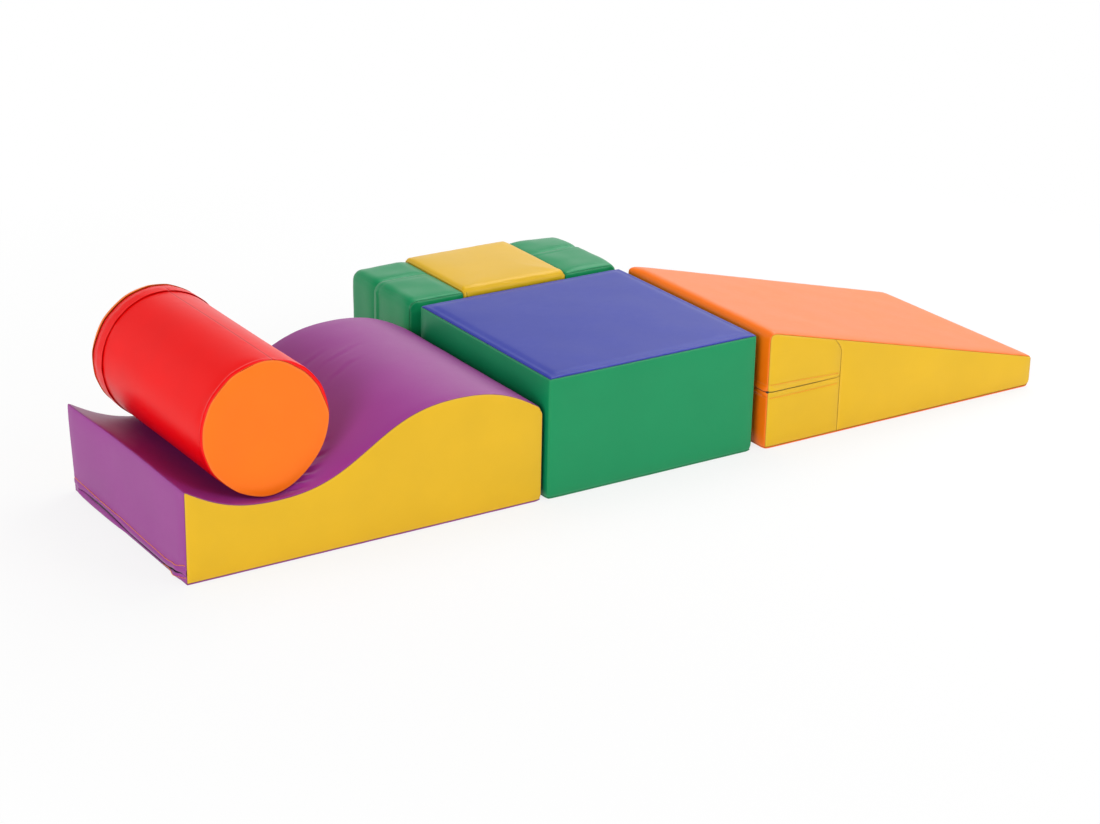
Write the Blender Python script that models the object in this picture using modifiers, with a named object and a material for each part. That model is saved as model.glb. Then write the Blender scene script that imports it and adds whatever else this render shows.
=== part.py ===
"""A soft play foam climber: six foam blocks in sewn vinyl covers, each closed by a zip.

Metres, +Z up. The blocks stand in a row along X, with the front of the row towards -Y.
The origin is the middle of the cube's base.
"""

import math

import bmesh
import bpy
from mathutils import Matrix, Vector

# Covers and the clearances between pieces that touch
SKIN = 0.001
GAP = 0.0003
INSET = SKIN + GAP

# Crown of a stuffed panel, from its seam inwards
CROWN_REACH = 0.050
CROWN_RISE = 0.0030
CROWN_SHARES = ((0.0, 0.0), (0.08, 0.35), (0.28, 0.7), (1.0, 1.0))
CROWN_INWARD_SHARE = 0.4

# Zips and the flaps that stand over them
TAPE_THICKNESS = 0.0005
TAPE_HALF_WIDTH = 0.010
CHAIN_THICKNESS = 0.0014
CHAIN_HALF_WIDTH = 0.002
SLIDER_PLATE = 0.0007
SLIDER_FLANGE = 0.0009
SLIDER_PLAY = 0.0005
SLIDER_LENGTH = 0.012
SLIT_HALF = 0.0008
FLAP_SHOULDER = 0.006
FLAP_WIDTH = 0.014
FLAP_TAPER = 0.012
LAP_SHOULDER = 2 * FLAP_SHOULDER
LAP_WIDTH = LAP_SHOULDER + FLAP_WIDTH - FLAP_SHOULDER
LAPPED_TAPE_WIDTH = FLAP_SHOULDER - SLIT_HALF - GAP
ZIP_END = 0.020
FLAP_RISE = TAPE_THICKNESS + CHAIN_THICKNESS + SLIDER_PLATE + SLIDER_PLAY + 2 * GAP
LOW_ZIP_HEIGHT = INSET + FLAP_WIDTH

# Height and depth that the blocks of the set share, and how far each block keeps to them
SET_HEIGHT = 0.250
SET_DEPTH = 0.495
CUBE_DEPTH_SHARE = 0.988
WAVE_DEPTH_SHARE = 1.01
WAVE_MIDDLE_SHARE = 0.754
WAVE_SWING_SHARE = 0.262
WAVE_FLATTENING_SHARE = 0.014
ROLL_LENGTH_SHARE = 0.968
ROLL_RADIUS_SHARE = 0.512
RAMP_TALL_SHARE = 1.01
ARCH_DEPTH_SHARE = 0.495
ARCH_HEIGHT_SHARE = 1.012

# Cube
CUBE_LENGTH = 0.495
CUBE_DEPTH = SET_DEPTH * CUBE_DEPTH_SHARE
CUBE_HEIGHT = SET_HEIGHT
CUBE_CROWN = 0.0042

# Wave
WAVE_LENGTH = 0.753
WAVE_DEPTH = SET_DEPTH * WAVE_DEPTH_SHARE
WAVE_MIDDLE = SET_HEIGHT * WAVE_MIDDLE_SHARE
WAVE_SWING = SET_HEIGHT * WAVE_SWING_SHARE
WAVE_FLATTENING = SET_HEIGHT * WAVE_FLATTENING_SHARE
WAVE_PERIOD = 0.768
WAVE_VALLEY_AT = 0.182
WAVE_CROWN = 0.0012
WAVE_GAP = 0.0123
WAVE_SETBACK = 0.0035
WAVE_SEGMENTS = 36

# Roll
ROLL_RADIUS = SET_HEIGHT * ROLL_RADIUS_SHARE
ROLL_LENGTH = SET_DEPTH * ROLL_LENGTH_SHARE
ROLL_SETBACK = 0.033
ROLL_BAND = 0.034
ROLL_LAP = 0.004
ROLL_EDGE = 0.0015
ROLL_EDGE_REACH = 0.010
ROLL_CROWN = 0.0030
ROLL_SEGMENTS = 48

# Ramp
RAMP_LENGTH = 0.729
RAMP_DEPTH = SET_DEPTH
RAMP_TALL = SET_HEIGHT * RAMP_TALL_SHARE
RAMP_LOW = 0.0687
RAMP_TOE = 0.010
RAMP_SEAM_AT = 0.188
RAMP_ZIP_HEIGHT = SET_HEIGHT / 2
RAMP_GAP = 0.028
RAMP_SETBACK = -0.008

# Arch, lying on its back with the channel upwards
ARCH_LENGTH = 0.515
ARCH_DEPTH = SET_DEPTH * ARCH_DEPTH_SHARE
ARCH_HEIGHT = SET_HEIGHT * ARCH_HEIGHT_SHARE
ARCH_EDGE = 0.016
ARCH_CROWN_REACH = 0.012
ARCH_SEAM_AT = 0.142
ARCH_GAP = 0.022
ARCH_SHIFT = -0.003
ARCH_ZIP_LOW = 0.030
NEST_GAP = 0.0005

# Half-round nested in the arch
HALF_RADIUS = ARCH_HEIGHT / 2
HALF_RISE = 0.006
HALF_TURN_DOWN = 0.036
HALF_END_SHARE = 0.88
HALF_SEGMENTS = 24

EDGE_SEGMENTS = 3
SCREW_MERGE = 0.0001
SMOOTH_UNDER = math.radians(30)
UPPER_ROW_SHARES = (0.5, 0.9, 1.0)

# Block places, worked out from the sizes
CUBE_FRONT = -CUBE_DEPTH / 2
CUBE_BACK = CUBE_DEPTH / 2
CUBE_LEFT = -CUBE_LENGTH / 2
CUBE_RIGHT = CUBE_LENGTH / 2
WAVE_HIGH_END = CUBE_LEFT - WAVE_GAP
WAVE_LOW_END = WAVE_HIGH_END - WAVE_LENGTH
WAVE_FRONT = CUBE_FRONT + WAVE_SETBACK
WAVE_BACK = WAVE_FRONT + WAVE_DEPTH
RAMP_TALL_END = CUBE_RIGHT + RAMP_GAP
RAMP_LOW_END = RAMP_TALL_END + RAMP_LENGTH
RAMP_FRONT = CUBE_FRONT + RAMP_SETBACK
RAMP_BACK = RAMP_FRONT + RAMP_DEPTH
RAMP_SEAM = RAMP_TALL_END + RAMP_SEAM_AT
ARCH_FRONT = CUBE_BACK + ARCH_GAP
ARCH_BACK = ARCH_FRONT + ARCH_DEPTH
ARCH_SEAM = ARCH_FRONT + ARCH_SEAM_AT
ARCH_LEFT = ARCH_SHIFT - ARCH_LENGTH / 2
ARCH_RIGHT = ARCH_SHIFT + ARCH_LENGTH / 2
CHANNEL_RADIUS = HALF_RADIUS + NEST_GAP
HALF_TOP = ARCH_HEIGHT + HALF_RISE
ROLL_X = WAVE_LOW_END + WAVE_VALLEY_AT
ROLL_FRONT = WAVE_FRONT + ROLL_SETBACK
VALLEY_HEIGHT = WAVE_MIDDLE - WAVE_SWING + WAVE_FLATTENING
ROLL_Z = VALLEY_HEIGHT + WAVE_CROWN + ROLL_RADIUS + INSET + GAP

FRONTWARDS = Vector((0, -1, 0))
BACKWARDS = Vector((0, 1, 0))
UPWARDS = Vector((0, 0, 1))

# Colours and finishes: red, green, blue, roughness and metallic
FINISHES = {
    "blue_vinyl": (0.06, 0.07, 0.42, 0.45, 0.0),
    "green_vinyl": (0.01, 0.24, 0.09, 0.45, 0.0),
    "purple_vinyl": (0.19, 0.04, 0.24, 0.45, 0.0),
    "yellow_vinyl": (0.85, 0.50, 0.02, 0.5, 0.0),
    "orange_vinyl": (0.95, 0.22, 0.02, 0.5, 0.0),
    "red_vinyl": (0.78, 0.01, 0.01, 0.4, 0.0),
    "foam": (0.85, 0.82, 0.70, 0.95, 0.0),
    "zip_tape": (0.12, 0.10, 0.10, 0.9, 0.0),
    "zip_coil": (0.08, 0.08, 0.08, 0.5, 0.0),
    "zip_metal": (0.55, 0.55, 0.57, 0.35, 1.0),
}


def clear_objects():
    for item in list(bpy.data.objects):
        bpy.data.objects.remove(item, do_unlink=True)


def new_collection(name):
    group = bpy.data.collections.new(name)
    bpy.context.scene.collection.children.link(group)
    return group


def new_finish(piece_name, finish):
    """One material for one piece, in the colour and gloss of its finish."""
    red, green, blue, roughness, metallic = FINISHES[finish]
    material = bpy.data.materials.new(f"{piece_name}_{finish}")
    material.use_nodes = True
    shader = material.node_tree.nodes["Principled BSDF"]
    shader.inputs["Base Color"].default_value = (red, green, blue, 1)
    shader.inputs["Roughness"].default_value = roughness
    shader.inputs["Metallic"].default_value = metallic
    return material


def add_piece(name, mesh, finish, thickness=0):
    """Turn a bmesh into a named piece; a thickness makes its open surface a shell, inwards."""
    data = bpy.data.meshes.new(name)
    mesh.to_mesh(data)
    mesh.free()
    data.shade_smooth()
    data.set_sharp_from_angle(angle=SMOOTH_UNDER)
    piece = bpy.data.objects.new(name, data)
    PARTS.objects.link(piece)
    data.materials.append(new_finish(name, finish))
    if thickness:
        give_thickness(piece, thickness)
    return piece


def give_thickness(piece, thickness):
    shell = piece.modifiers.new("thickness", "SOLIDIFY")
    shell.thickness = thickness
    shell.offset = -1
    shell.use_even_offset = True


def set_origin(piece, origin):
    """Move a piece's origin without moving the piece."""
    piece.data.transform(Matrix.Translation(piece.location - origin))
    piece.location = origin


def flat(points, place, across):
    """Stand plane points (x, z) at a depth, or lay plan points (x, y) at a height."""
    if across == "y":
        return [Vector((point[0], place, point[1])) for point in points]
    return [Vector((point[0], point[1], place)) for point in points]


def outward_steps(points, closed):
    """For each corner of an outline that runs anticlockwise, the step that moves it out by one."""
    points = [Vector(point) for point in points]
    last = len(points) - 1
    steps = []
    for index, here in enumerate(points):
        sides = []
        if closed or index > 0:
            sides.append(here - points[index - 1])
        if closed or index < last:
            sides.append(points[(index + 1) % len(points)] - here)
        normals = [Vector((side.y, -side.x)).normalized() for side in sides]
        total = sum(normals, Vector((0, 0)))
        steps.append(total * (len(normals) / total.length_squared))
    return steps


def moved_out(points, distance, closed=True):
    """The outline moved out by a distance, or in where it is negative, with sharp corners kept."""
    steps = outward_steps(points, closed)
    return [Vector(point) + step * distance for point, step in zip(points, steps)]


def runs_along(points):
    """The distance of each point along its line."""
    runs = [0.0]
    for start, end in zip(points, points[1:]):
        runs.append(runs[-1] + (Vector(end) - Vector(start)).length)
    return runs


def arc(centre, radius, start, end, segments):
    """Points round an arc, with angles in degrees."""
    points = []
    for index in range(segments + 1):
        angle = math.radians(start + (end - start) * index / segments)
        points.append((centre[0] + radius * math.cos(angle), centre[1] + radius * math.sin(angle)))
    return points


def crown_share(share):
    """The crown's height as a share, by the distance from the seam as a share of its reach."""
    for (low, low_rise), (high, high_rise) in zip(CROWN_SHARES, CROWN_SHARES[1:]):
        if share <= high:
            return low_rise + (high_rise - low_rise) * (share - low) / (high - low)
    return CROWN_SHARES[-1][1]


def crown_between(place, low, high):
    """The crown's share at a place between two seams."""
    reach = min(CROWN_REACH, (high - low) / 2)
    return crown_share(max(0.0, min(place - low, high - place)) / reach)


def crown_places(low, high, extra=()):
    """Places between two seams at which a crowned panel has its rows."""
    reach = min(CROWN_REACH, (high - low) / 2)
    places = list(extra)
    for share, _ in CROWN_SHARES:
        places += [low + share * reach, high - share * reach]
    kept = []
    for place in sorted(places):
        if not kept or place - kept[-1] > GAP:
            kept.append(place)
    return kept


def flap_rise(distance):
    """How far a zip flap stands off its panel, by the distance from the slit."""
    slope = (FLAP_WIDTH - distance) / (FLAP_WIDTH - FLAP_SHOULDER)
    return FLAP_RISE * max(0.0, min(1.0, slope))


def lap_rise(distance):
    """How far a lapped edge stands off its panel, by the distance from the slit that it covers."""
    slope = (LAP_WIDTH - distance) / (LAP_WIDTH - LAP_SHOULDER)
    return FLAP_RISE * max(0.0, min(1.0, slope))


def no_rise(run, place):
    """No rise at all, for a strip that lies flat on its line."""
    return 0.0


def taper(place, low, high):
    """One along a flap, falling to nothing at both of its ends."""
    return max(0.0, min(1.0, (place - low) / FLAP_TAPER, (high - place) / FLAP_TAPER))


def laid_sheet(name, columns, rows, place, outwards, finish, thickness=SKIN):
    """A sheet of columns and rows put in place point by point.

    outwards is the way that the first face looks, and the thickness goes the other way.
    """
    mesh = bmesh.new()
    bmesh.ops.create_grid(mesh, x_segments=len(columns) - 1, y_segments=len(rows) - 1, size=1)
    for index, vert in enumerate(mesh.verts):
        row, column = divmod(index, len(columns))
        vert.co = place(columns[column], rows[row])
    mesh.normal_update()
    mesh.faces.ensure_lookup_table()
    if mesh.faces[0].normal.dot(outwards) < 0:
        bmesh.ops.reverse_faces(mesh, faces=mesh.faces)
    return add_piece(name, mesh, finish, thickness)


def wrapped_sheet(name, points, rows, rise, finish, across="y", base=0.0, thickness=SKIN):
    """A sheet that follows an outline of points that run anticlockwise, across its rows.

    rise gives how far it stands off the outline, by the run along it and the row.
    """
    steps = outward_steps(points, closed=False)
    runs = runs_along(points)

    def place(column, row):
        flat_point = Vector(points[column]) + steps[column] * (base + rise(runs[column], row))
        return flat([flat_point], row, across)[0]

    outwards = flat([steps[0]], 0.0, across)[0]
    return laid_sheet(name, range(len(points)), rows, place, outwards, finish, thickness)


def flat_panel(name, corners, facing, finish, rise=CROWN_RISE, reach=0.0):
    """A flat panel, crowned from its seams inwards, with its thickness behind it.

    The crown reaches in by a distance, or, where none is given, part of the way to the middle.
    """
    mesh = bmesh.new()
    bmesh.ops.create_circle(mesh, cap_ends=True, segments=len(corners), radius=1)
    mesh.verts.ensure_lookup_table()
    for vert, corner in zip(mesh.verts, corners):
        vert.co = corner
    mesh.normal_update()
    mesh.faces.ensure_lookup_table()
    if mesh.faces[0].normal.dot(facing) < 0:
        bmesh.ops.reverse_faces(mesh, faces=mesh.faces)
        mesh.normal_update()
    middle = mesh.faces[0]
    centre = middle.calc_center_median_weighted()
    for (near, low), (far, high) in zip(CROWN_SHARES, CROWN_SHARES[1:]):
        bmesh.ops.inset_individual(
            mesh, faces=[middle], thickness=(far - near) * reach, use_even_offset=True
        )
        kept = (1 - far * CROWN_INWARD_SHARE) / (1 - near * CROWN_INWARD_SHARE)
        for vert in middle.verts:
            if not reach:
                vert.co = vert.co.lerp(centre + facing * low * rise, 1 - kept)
            vert.co += facing * (high - low) * rise
    return add_piece(name, mesh, finish, SKIN)


def extruded(corners, step):
    """A solid of one flat outline of corners, drawn out by a step."""
    mesh = bmesh.new()
    bmesh.ops.create_circle(mesh, cap_ends=True, segments=len(corners), radius=1)
    mesh.verts.ensure_lookup_table()
    for vert, corner in zip(mesh.verts, corners):
        vert.co = corner
    made = bmesh.ops.extrude_face_region(mesh, geom=mesh.faces[:])["geom"]
    moved = [item for item in made if isinstance(item, bmesh.types.BMVert)]
    bmesh.ops.translate(mesh, verts=moved, vec=step)
    bmesh.ops.recalc_face_normals(mesh, faces=mesh.faces)
    return mesh


def prism(name, points, front, back, finish):
    """A solid of one outline, from its front plane to its back plane."""
    return add_piece(name, extruded(flat(points, front, "y"), BACKWARDS * (back - front)), finish)


def box(name, low, high, finish):
    """A box between its lowest and its highest corner."""
    low, high = Vector(low), Vector(high)
    mesh = bmesh.new()
    bmesh.ops.create_cube(mesh, size=1)
    bmesh.ops.scale(mesh, vec=high - low, verts=mesh.verts)
    bmesh.ops.translate(mesh, vec=(low + high) / 2, verts=mesh.verts)
    return add_piece(name, mesh, finish)


def base_panel(name, left, right, front, back, finish):
    """The flat bottom of a cover, which stands on the floor."""
    return box(name, (left, front, 0), (right, back, SKIN), finish)


def slider_solid(name, middle, along, outwards, play=GAP):
    """A zip slider that rides over the chain; middle is on the panel's plane, on the chain's line."""
    across = outwards.cross(along)
    floor = -SKIN + TAPE_THICKNESS + GAP
    inner = CHAIN_HALF_WIDTH + play
    outer = inner + SLIDER_FLANGE
    under = floor + CHAIN_THICKNESS + SLIDER_PLAY
    top = under + SLIDER_PLATE
    profile = [
        (-outer, floor), (-inner, floor), (-inner, under), (inner, under),
        (inner, floor), (outer, floor), (outer, top), (-outer, top),
    ]
    corners = [
        across * side + outwards * height - along * (SLIDER_LENGTH / 2)
        for side, height in profile
    ]
    slider = add_piece(name, extruded(corners, along * SLIDER_LENGTH), "zip_metal")
    slider.location = middle
    return slider


def zip_strips(block, points, line, across="z", widths=(TAPE_HALF_WIDTH, TAPE_HALF_WIDTH)):
    """The closed tape of a zip that follows points, and the chain of its coils on the line."""
    tape_top = TAPE_THICKNESS - SKIN
    chain_top = tape_top + GAP + CHAIN_THICKNESS
    tape = [line - widths[0], line + widths[1]]
    wrapped_sheet(
        f"{block}_zip_tape", points, tape, no_rise, "zip_tape", across, tape_top, TAPE_THICKNESS
    )
    chain = [line - CHAIN_HALF_WIDTH, line + CHAIN_HALF_WIDTH]
    wrapped_sheet(
        f"{block}_zip_chain", points, chain, no_rise, "zip_coil", across, chain_top,
        CHAIN_THICKNESS,
    )


def build_cube():
    """A square block: blue top, green sides with a zipped back, green base."""
    box(
        "cube_foam",
        (CUBE_LEFT + INSET, CUBE_FRONT + INSET, INSET),
        (CUBE_RIGHT - INSET, CUBE_BACK - INSET, CUBE_HEIGHT - INSET),
        "foam",
    )
    base_panel("cube_base", CUBE_LEFT, CUBE_RIGHT, CUBE_FRONT, CUBE_BACK, "green_vinyl")
    top = [
        (CUBE_LEFT, CUBE_FRONT), (CUBE_RIGHT, CUBE_FRONT),
        (CUBE_RIGHT, CUBE_BACK), (CUBE_LEFT, CUBE_BACK),
    ]
    flat_panel(
        "cube_top", flat(top, CUBE_HEIGHT, "z"), UPWARDS, "blue_vinyl", CUBE_CROWN, CROWN_REACH
    )
    low, high = INSET, CUBE_HEIGHT - INSET
    left = [(CUBE_LEFT, -place) for place in crown_places(CUBE_FRONT, CUBE_BACK)]
    front = [(place, CUBE_FRONT) for place in crown_places(CUBE_LEFT, CUBE_RIGHT)]
    right = [(CUBE_RIGHT, place) for place in crown_places(CUBE_FRONT, CUBE_BACK)]
    corners = [0.0, CUBE_DEPTH, CUBE_DEPTH + CUBE_LENGTH, 2 * CUBE_DEPTH + CUBE_LENGTH]

    def band_rise(run, height):
        start = max(corner for corner in corners[:-1] if corner <= run + GAP)
        end = corners[corners.index(start) + 1]
        return CROWN_RISE * crown_between(run, start, end) * crown_between(height, low, high)

    wrapped_sheet(
        "cube_band", left + front[1:] + right[1:], crown_places(low, high), band_rise,
        "green_vinyl", "z",
    )
    build_zipped_wall(
        "cube", "back", [(CUBE_RIGHT - INSET, CUBE_BACK), (CUBE_LEFT + INSET, CUBE_BACK)],
        low, high, LOW_ZIP_HEIGHT, "green_vinyl",
    )


def build_zipped_wall(block, side, ends, low, high, slit, finish):
    """A wall with a level slit: an upper and a lower panel, the zip behind them, its slider."""
    start, end = Vector(ends[0]), Vector(ends[1])
    length = (end - start).length
    run_places = crown_places(0.0, length, (FLAP_TAPER, length - FLAP_TAPER))
    points = [start.lerp(end, place / length) for place in run_places]

    def rise(run, height):
        crown = CROWN_RISE * crown_between(run, 0.0, length)
        if height > slit:
            crown *= crown_between(height, slit, high)
        else:
            crown *= crown_between(height, low, slit)
        return max(crown, flap_rise(abs(height - slit)) * taper(run, 0.0, length))

    upper = crown_places(slit + FLAP_WIDTH, high, (slit + SLIT_HALF, slit + FLAP_SHOULDER))
    lower = [low, slit - FLAP_SHOULDER, slit - SLIT_HALF]
    wrapped_sheet(f"{block}_{side}_upper", points, upper, rise, finish, "z")
    wrapped_sheet(f"{block}_{side}_lower", points, lower, rise, finish, "z")
    along = (end - start) / length
    zip_ends = [start + along * ZIP_END, end - along * ZIP_END]
    zip_strips(block, zip_ends, slit)
    middle = zip_ends[0] + along * SLIDER_LENGTH
    outwards = Vector((along.y, -along.x, 0))
    slider_solid(
        f"{block}_zip_slider", Vector((middle.x, middle.y, slit)),
        Vector((along.x, along.y, 0)), outwards,
    )


def wave_height(x):
    """The wave's top: a cosine, with its valley and crest flattened and its slopes steeper."""
    turn = 2 * math.pi * (x - WAVE_LOW_END - WAVE_VALLEY_AT) / WAVE_PERIOD
    return WAVE_MIDDLE - WAVE_SWING * math.cos(turn) + WAVE_FLATTENING * math.cos(3 * turn)


def wave_top_points():
    """Points along the wave's top from its high end to its low end."""
    even = [
        WAVE_LOW_END + WAVE_LENGTH * index / WAVE_SEGMENTS for index in range(WAVE_SEGMENTS + 1)
    ]
    places = crown_places(WAVE_LOW_END, WAVE_HIGH_END, even)
    return [(x, wave_height(x)) for x in reversed(places)]


def build_wave_side(side, plane, facing, top):
    """One yellow side of the wave, crowned from its seams inwards."""
    def place(column, row):
        x, roof = top[column]
        edge, share = row
        inwards = share * CROWN_REACH
        height = INSET + inwards if edge == "floor" else roof - inwards
        rise = CROWN_RISE * crown_between(x, WAVE_LOW_END, WAVE_HIGH_END)
        rise *= crown_between(height, INSET, roof)
        return Vector((x, plane, height)) + facing * rise

    rows = [("floor", share) for share, _ in CROWN_SHARES]
    rows += [("roof", share) for share, _ in reversed(CROWN_SHARES)]
    laid_sheet(f"wave_side_{side}", range(len(top)), rows, place, facing, "yellow_vinyl")


def build_wave():
    """A block with a valley and a crest: purple wrap, yellow sides, zip low on the low end."""
    top = wave_top_points()
    core = moved_out([(WAVE_LOW_END, 0.0), (WAVE_HIGH_END, 0.0)] + top, -INSET)
    prism("wave_foam", core, WAVE_FRONT + INSET, WAVE_BACK - INSET, "foam")
    base_panel("wave_base", WAVE_LOW_END, WAVE_HIGH_END, WAVE_FRONT, WAVE_BACK, "purple_vinyl")
    for side, plane, facing in (
        ("front", WAVE_FRONT, FRONTWARDS), ("back", WAVE_BACK, BACKWARDS),
    ):
        build_wave_side(side, plane, facing, top)
    slit = LOW_ZIP_HEIGHT
    low, high = WAVE_FRONT + INSET, WAVE_BACK - INSET
    down_low_end = [
        (WAVE_LOW_END, slit + FLAP_WIDTH),
        (WAVE_LOW_END, slit + FLAP_SHOULDER),
        (WAVE_LOW_END, slit + SLIT_HALF),
    ]
    line = [(WAVE_HIGH_END, INSET)] + top + down_low_end
    length = runs_along(line)[-1]

    def wrap_rise(run, place):
        flap = flap_rise(length - run + SLIT_HALF) * taper(place, low, high)
        return max(flap, WAVE_CROWN * crown_between(place, low, high))

    rows = crown_places(low, high, (low + FLAP_TAPER, high - FLAP_TAPER))
    wrapped_sheet("wave_wrap", line, rows, wrap_rise, "purple_vinyl")
    strip = [
        (WAVE_LOW_END, slit - SLIT_HALF), (WAVE_LOW_END, slit - FLAP_SHOULDER),
        (WAVE_LOW_END, INSET),
    ]

    def strip_rise(run, place):
        return flap_rise(run + SLIT_HALF) * taper(place, low, high)

    wrapped_sheet("wave_low_end_strip", strip, rows, strip_rise, "purple_vinyl")
    zip_front = WAVE_FRONT + ZIP_END
    zip_back = WAVE_BACK - ZIP_END
    zip_strips("wave", [(WAVE_LOW_END, zip_back), (WAVE_LOW_END, zip_front)], slit)
    slider_solid(
        "wave_zip_slider", Vector((WAVE_LOW_END, zip_back - SLIDER_LENGTH, slit)),
        FRONTWARDS, Vector((-1, 0, 0)),
    )


def turned_piece(name, profile, finish, thickness=0):
    """A profile of (radius, place along the roll), from its far end, turned about the roll's axis."""
    mesh = bmesh.new()
    verts = [mesh.verts.new((radius, 0, place)) for radius, place in profile]
    for pair in zip(verts, verts[1:]):
        mesh.edges.new(pair)
    piece = add_piece(name, mesh, finish)
    turn = piece.modifiers.new("turn", "SCREW")
    turn.axis = "Z"
    turn.steps = ROLL_SEGMENTS
    turn.render_steps = ROLL_SEGMENTS
    turn.use_merge_vertices = True
    turn.merge_threshold = SCREW_MERGE
    if thickness:
        give_thickness(piece, thickness)
    piece.location = (ROLL_X, ROLL_FRONT, ROLL_Z)
    piece.rotation_euler = (math.radians(-90), 0, 0)
    return piece


def build_roll():
    """A round roll in the wave's valley: red wrap and end band, orange discs, a ring zip."""
    axis = Vector((ROLL_X, ROLL_FRONT, ROLL_Z))
    slit = ROLL_LENGTH - ROLL_BAND
    chain_line = slit + FLAP_SHOULDER
    core = ROLL_RADIUS - INSET
    groove = core - FLAP_RISE
    groove_low = chain_line - FLAP_SHOULDER
    groove_high = chain_line + TAPE_HALF_WIDTH + GAP
    far, near = ROLL_LENGTH - INSET, INSET
    foam = [
        (0, far), (core, far), (core, groove_high), (groove, groove_high),
        (groove, groove_low), (core, groove_low), (core, near + ROLL_EDGE_REACH),
        (core - ROLL_EDGE, near), (0, near),
    ]
    turned_piece("roll_foam", foam, "foam")
    wrap = [
        (ROLL_RADIUS, slit), (ROLL_RADIUS, near + ROLL_EDGE_REACH),
        (ROLL_RADIUS - ROLL_EDGE, near),
    ]
    turned_piece("roll_wrap", wrap, "red_vinyl", SKIN)
    lapped = ROLL_RADIUS + INSET
    band = [(ROLL_RADIUS, far), (lapped, slit + FLAP_SHOULDER), (lapped, slit - ROLL_LAP)]
    turned_piece("roll_end_band", band, "red_vinyl", SKIN)
    for side, place, facing, radius in (
        ("front", 0.0, FRONTWARDS, ROLL_RADIUS - ROLL_EDGE),
        ("back", ROLL_LENGTH, BACKWARDS, ROLL_RADIUS),
    ):
        ring = arc((ROLL_X, ROLL_Z), radius, 0, 360, ROLL_SEGMENTS)[:-1]
        disc = flat_panel(
            f"roll_disc_{side}", flat(ring, ROLL_FRONT + place, "y"), facing, "orange_vinyl",
            ROLL_CROWN,
        )
        set_origin(disc, axis)
    tape_top = groove + GAP + TAPE_THICKNESS
    tape = [(tape_top, groove_high - GAP), (tape_top, groove_low + GAP)]
    turned_piece("roll_zip_tape", tape, "zip_tape", TAPE_THICKNESS)
    chain_top = tape_top + GAP + CHAIN_THICKNESS
    chain = [
        (chain_top, chain_line + CHAIN_HALF_WIDTH), (chain_top, chain_line - CHAIN_HALF_WIDTH),
    ]
    turned_piece("roll_zip_chain", chain, "zip_coil", CHAIN_THICKNESS)
    half_step = math.pi / ROLL_SEGMENTS
    outwards = Vector((math.cos(half_step), 0, math.sin(half_step)))
    out = (groove + GAP + SKIN) * math.cos(half_step)
    slider = slider_solid(
        "roll_zip_slider", axis + BACKWARDS * chain_line + outwards * out,
        outwards.cross(BACKWARDS), outwards, SLIDER_PLAY,
    )
    set_origin(slider, axis)


def ramp_slope(x):
    """The height of the ramp's top at a place along it."""
    return RAMP_TALL + (RAMP_LOW - RAMP_TALL) * (x - RAMP_TALL_END) / RAMP_LENGTH


def build_ramp():
    """A wedge: orange wrap, yellow sides, and a zip round its tall end at half height."""
    toe = arc((RAMP_LOW_END - RAMP_TOE, RAMP_TOE), RAMP_TOE, -90, 0, EDGE_SEGMENTS)
    slit = RAMP_ZIP_HEIGHT
    low, high = RAMP_FRONT + INSET, RAMP_BACK - INSET
    tall_low, tall_high = (RAMP_TALL_END, 0.0), (RAMP_TALL_END, RAMP_TALL)
    core = moved_out([tall_low] + toe + [(RAMP_LOW_END, RAMP_LOW), tall_high], -INSET)
    prism("ramp_foam", core, low, high, "foam")
    base_panel(
        "ramp_base", RAMP_TALL_END, RAMP_LOW_END - RAMP_TOE - GAP, RAMP_FRONT, RAMP_BACK,
        "orange_vinyl",
    )
    down_tall_end = [
        (RAMP_TALL_END, slit + FLAP_WIDTH), (RAMP_TALL_END, slit + FLAP_SHOULDER),
        (RAMP_TALL_END, slit + SLIT_HALF),
    ]
    line = toe + [(RAMP_LOW_END, RAMP_LOW), tall_high] + down_tall_end
    runs = runs_along(line)
    slope_start, slope_end, length = runs[len(toe)], runs[len(toe) + 1], runs[-1]
    slope_places = crown_places(slope_start, slope_end)[1:-1]
    low_corner, tall_corner = Vector(line[len(toe)]), Vector(tall_high)
    slope_points = [
        low_corner.lerp(tall_corner, (place - slope_start) / (slope_end - slope_start))
        for place in slope_places
    ]
    line = toe + [low_corner] + slope_points + [tall_corner] + down_tall_end

    def wrap_rise(run, place):
        crown = CROWN_RISE * crown_between(place, low, high)
        crown *= crown_between(run, slope_start, slope_end)
        return max(crown, flap_rise(length - run + SLIT_HALF))

    rows = crown_places(low, high)
    wrapped_sheet("ramp_wrap", line, rows, wrap_rise, "orange_vinyl")
    lower = [
        (RAMP_TALL_END, slit - SLIT_HALF), (RAMP_TALL_END, slit - FLAP_SHOULDER),
        (RAMP_TALL_END, slit - FLAP_WIDTH), (RAMP_TALL_END, INSET),
    ]
    wrapped_sheet(
        "ramp_tall_end_lower", lower, rows, lambda run, place: flap_rise(run + SLIT_HALF),
        "orange_vinyl",
    )
    for side, plane, facing in (
        ("front", RAMP_FRONT, FRONTWARDS), ("back", RAMP_BACK, BACKWARDS),
    ):
        build_ramp_side(side, plane, facing, toe, slit)
    ends = RAMP_SEAM - ZIP_END
    route = [
        (ends, RAMP_BACK), (RAMP_TALL_END, RAMP_BACK),
        (RAMP_TALL_END, RAMP_FRONT), (ends, RAMP_FRONT),
    ]
    zip_strips("ramp", route, slit)
    slider_solid(
        "ramp_zip_slider",
        Vector((RAMP_TALL_END, RAMP_BACK - ZIP_END - SLIDER_LENGTH / 2, slit)),
        FRONTWARDS, Vector((-1, 0, 0)),
    )


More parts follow.
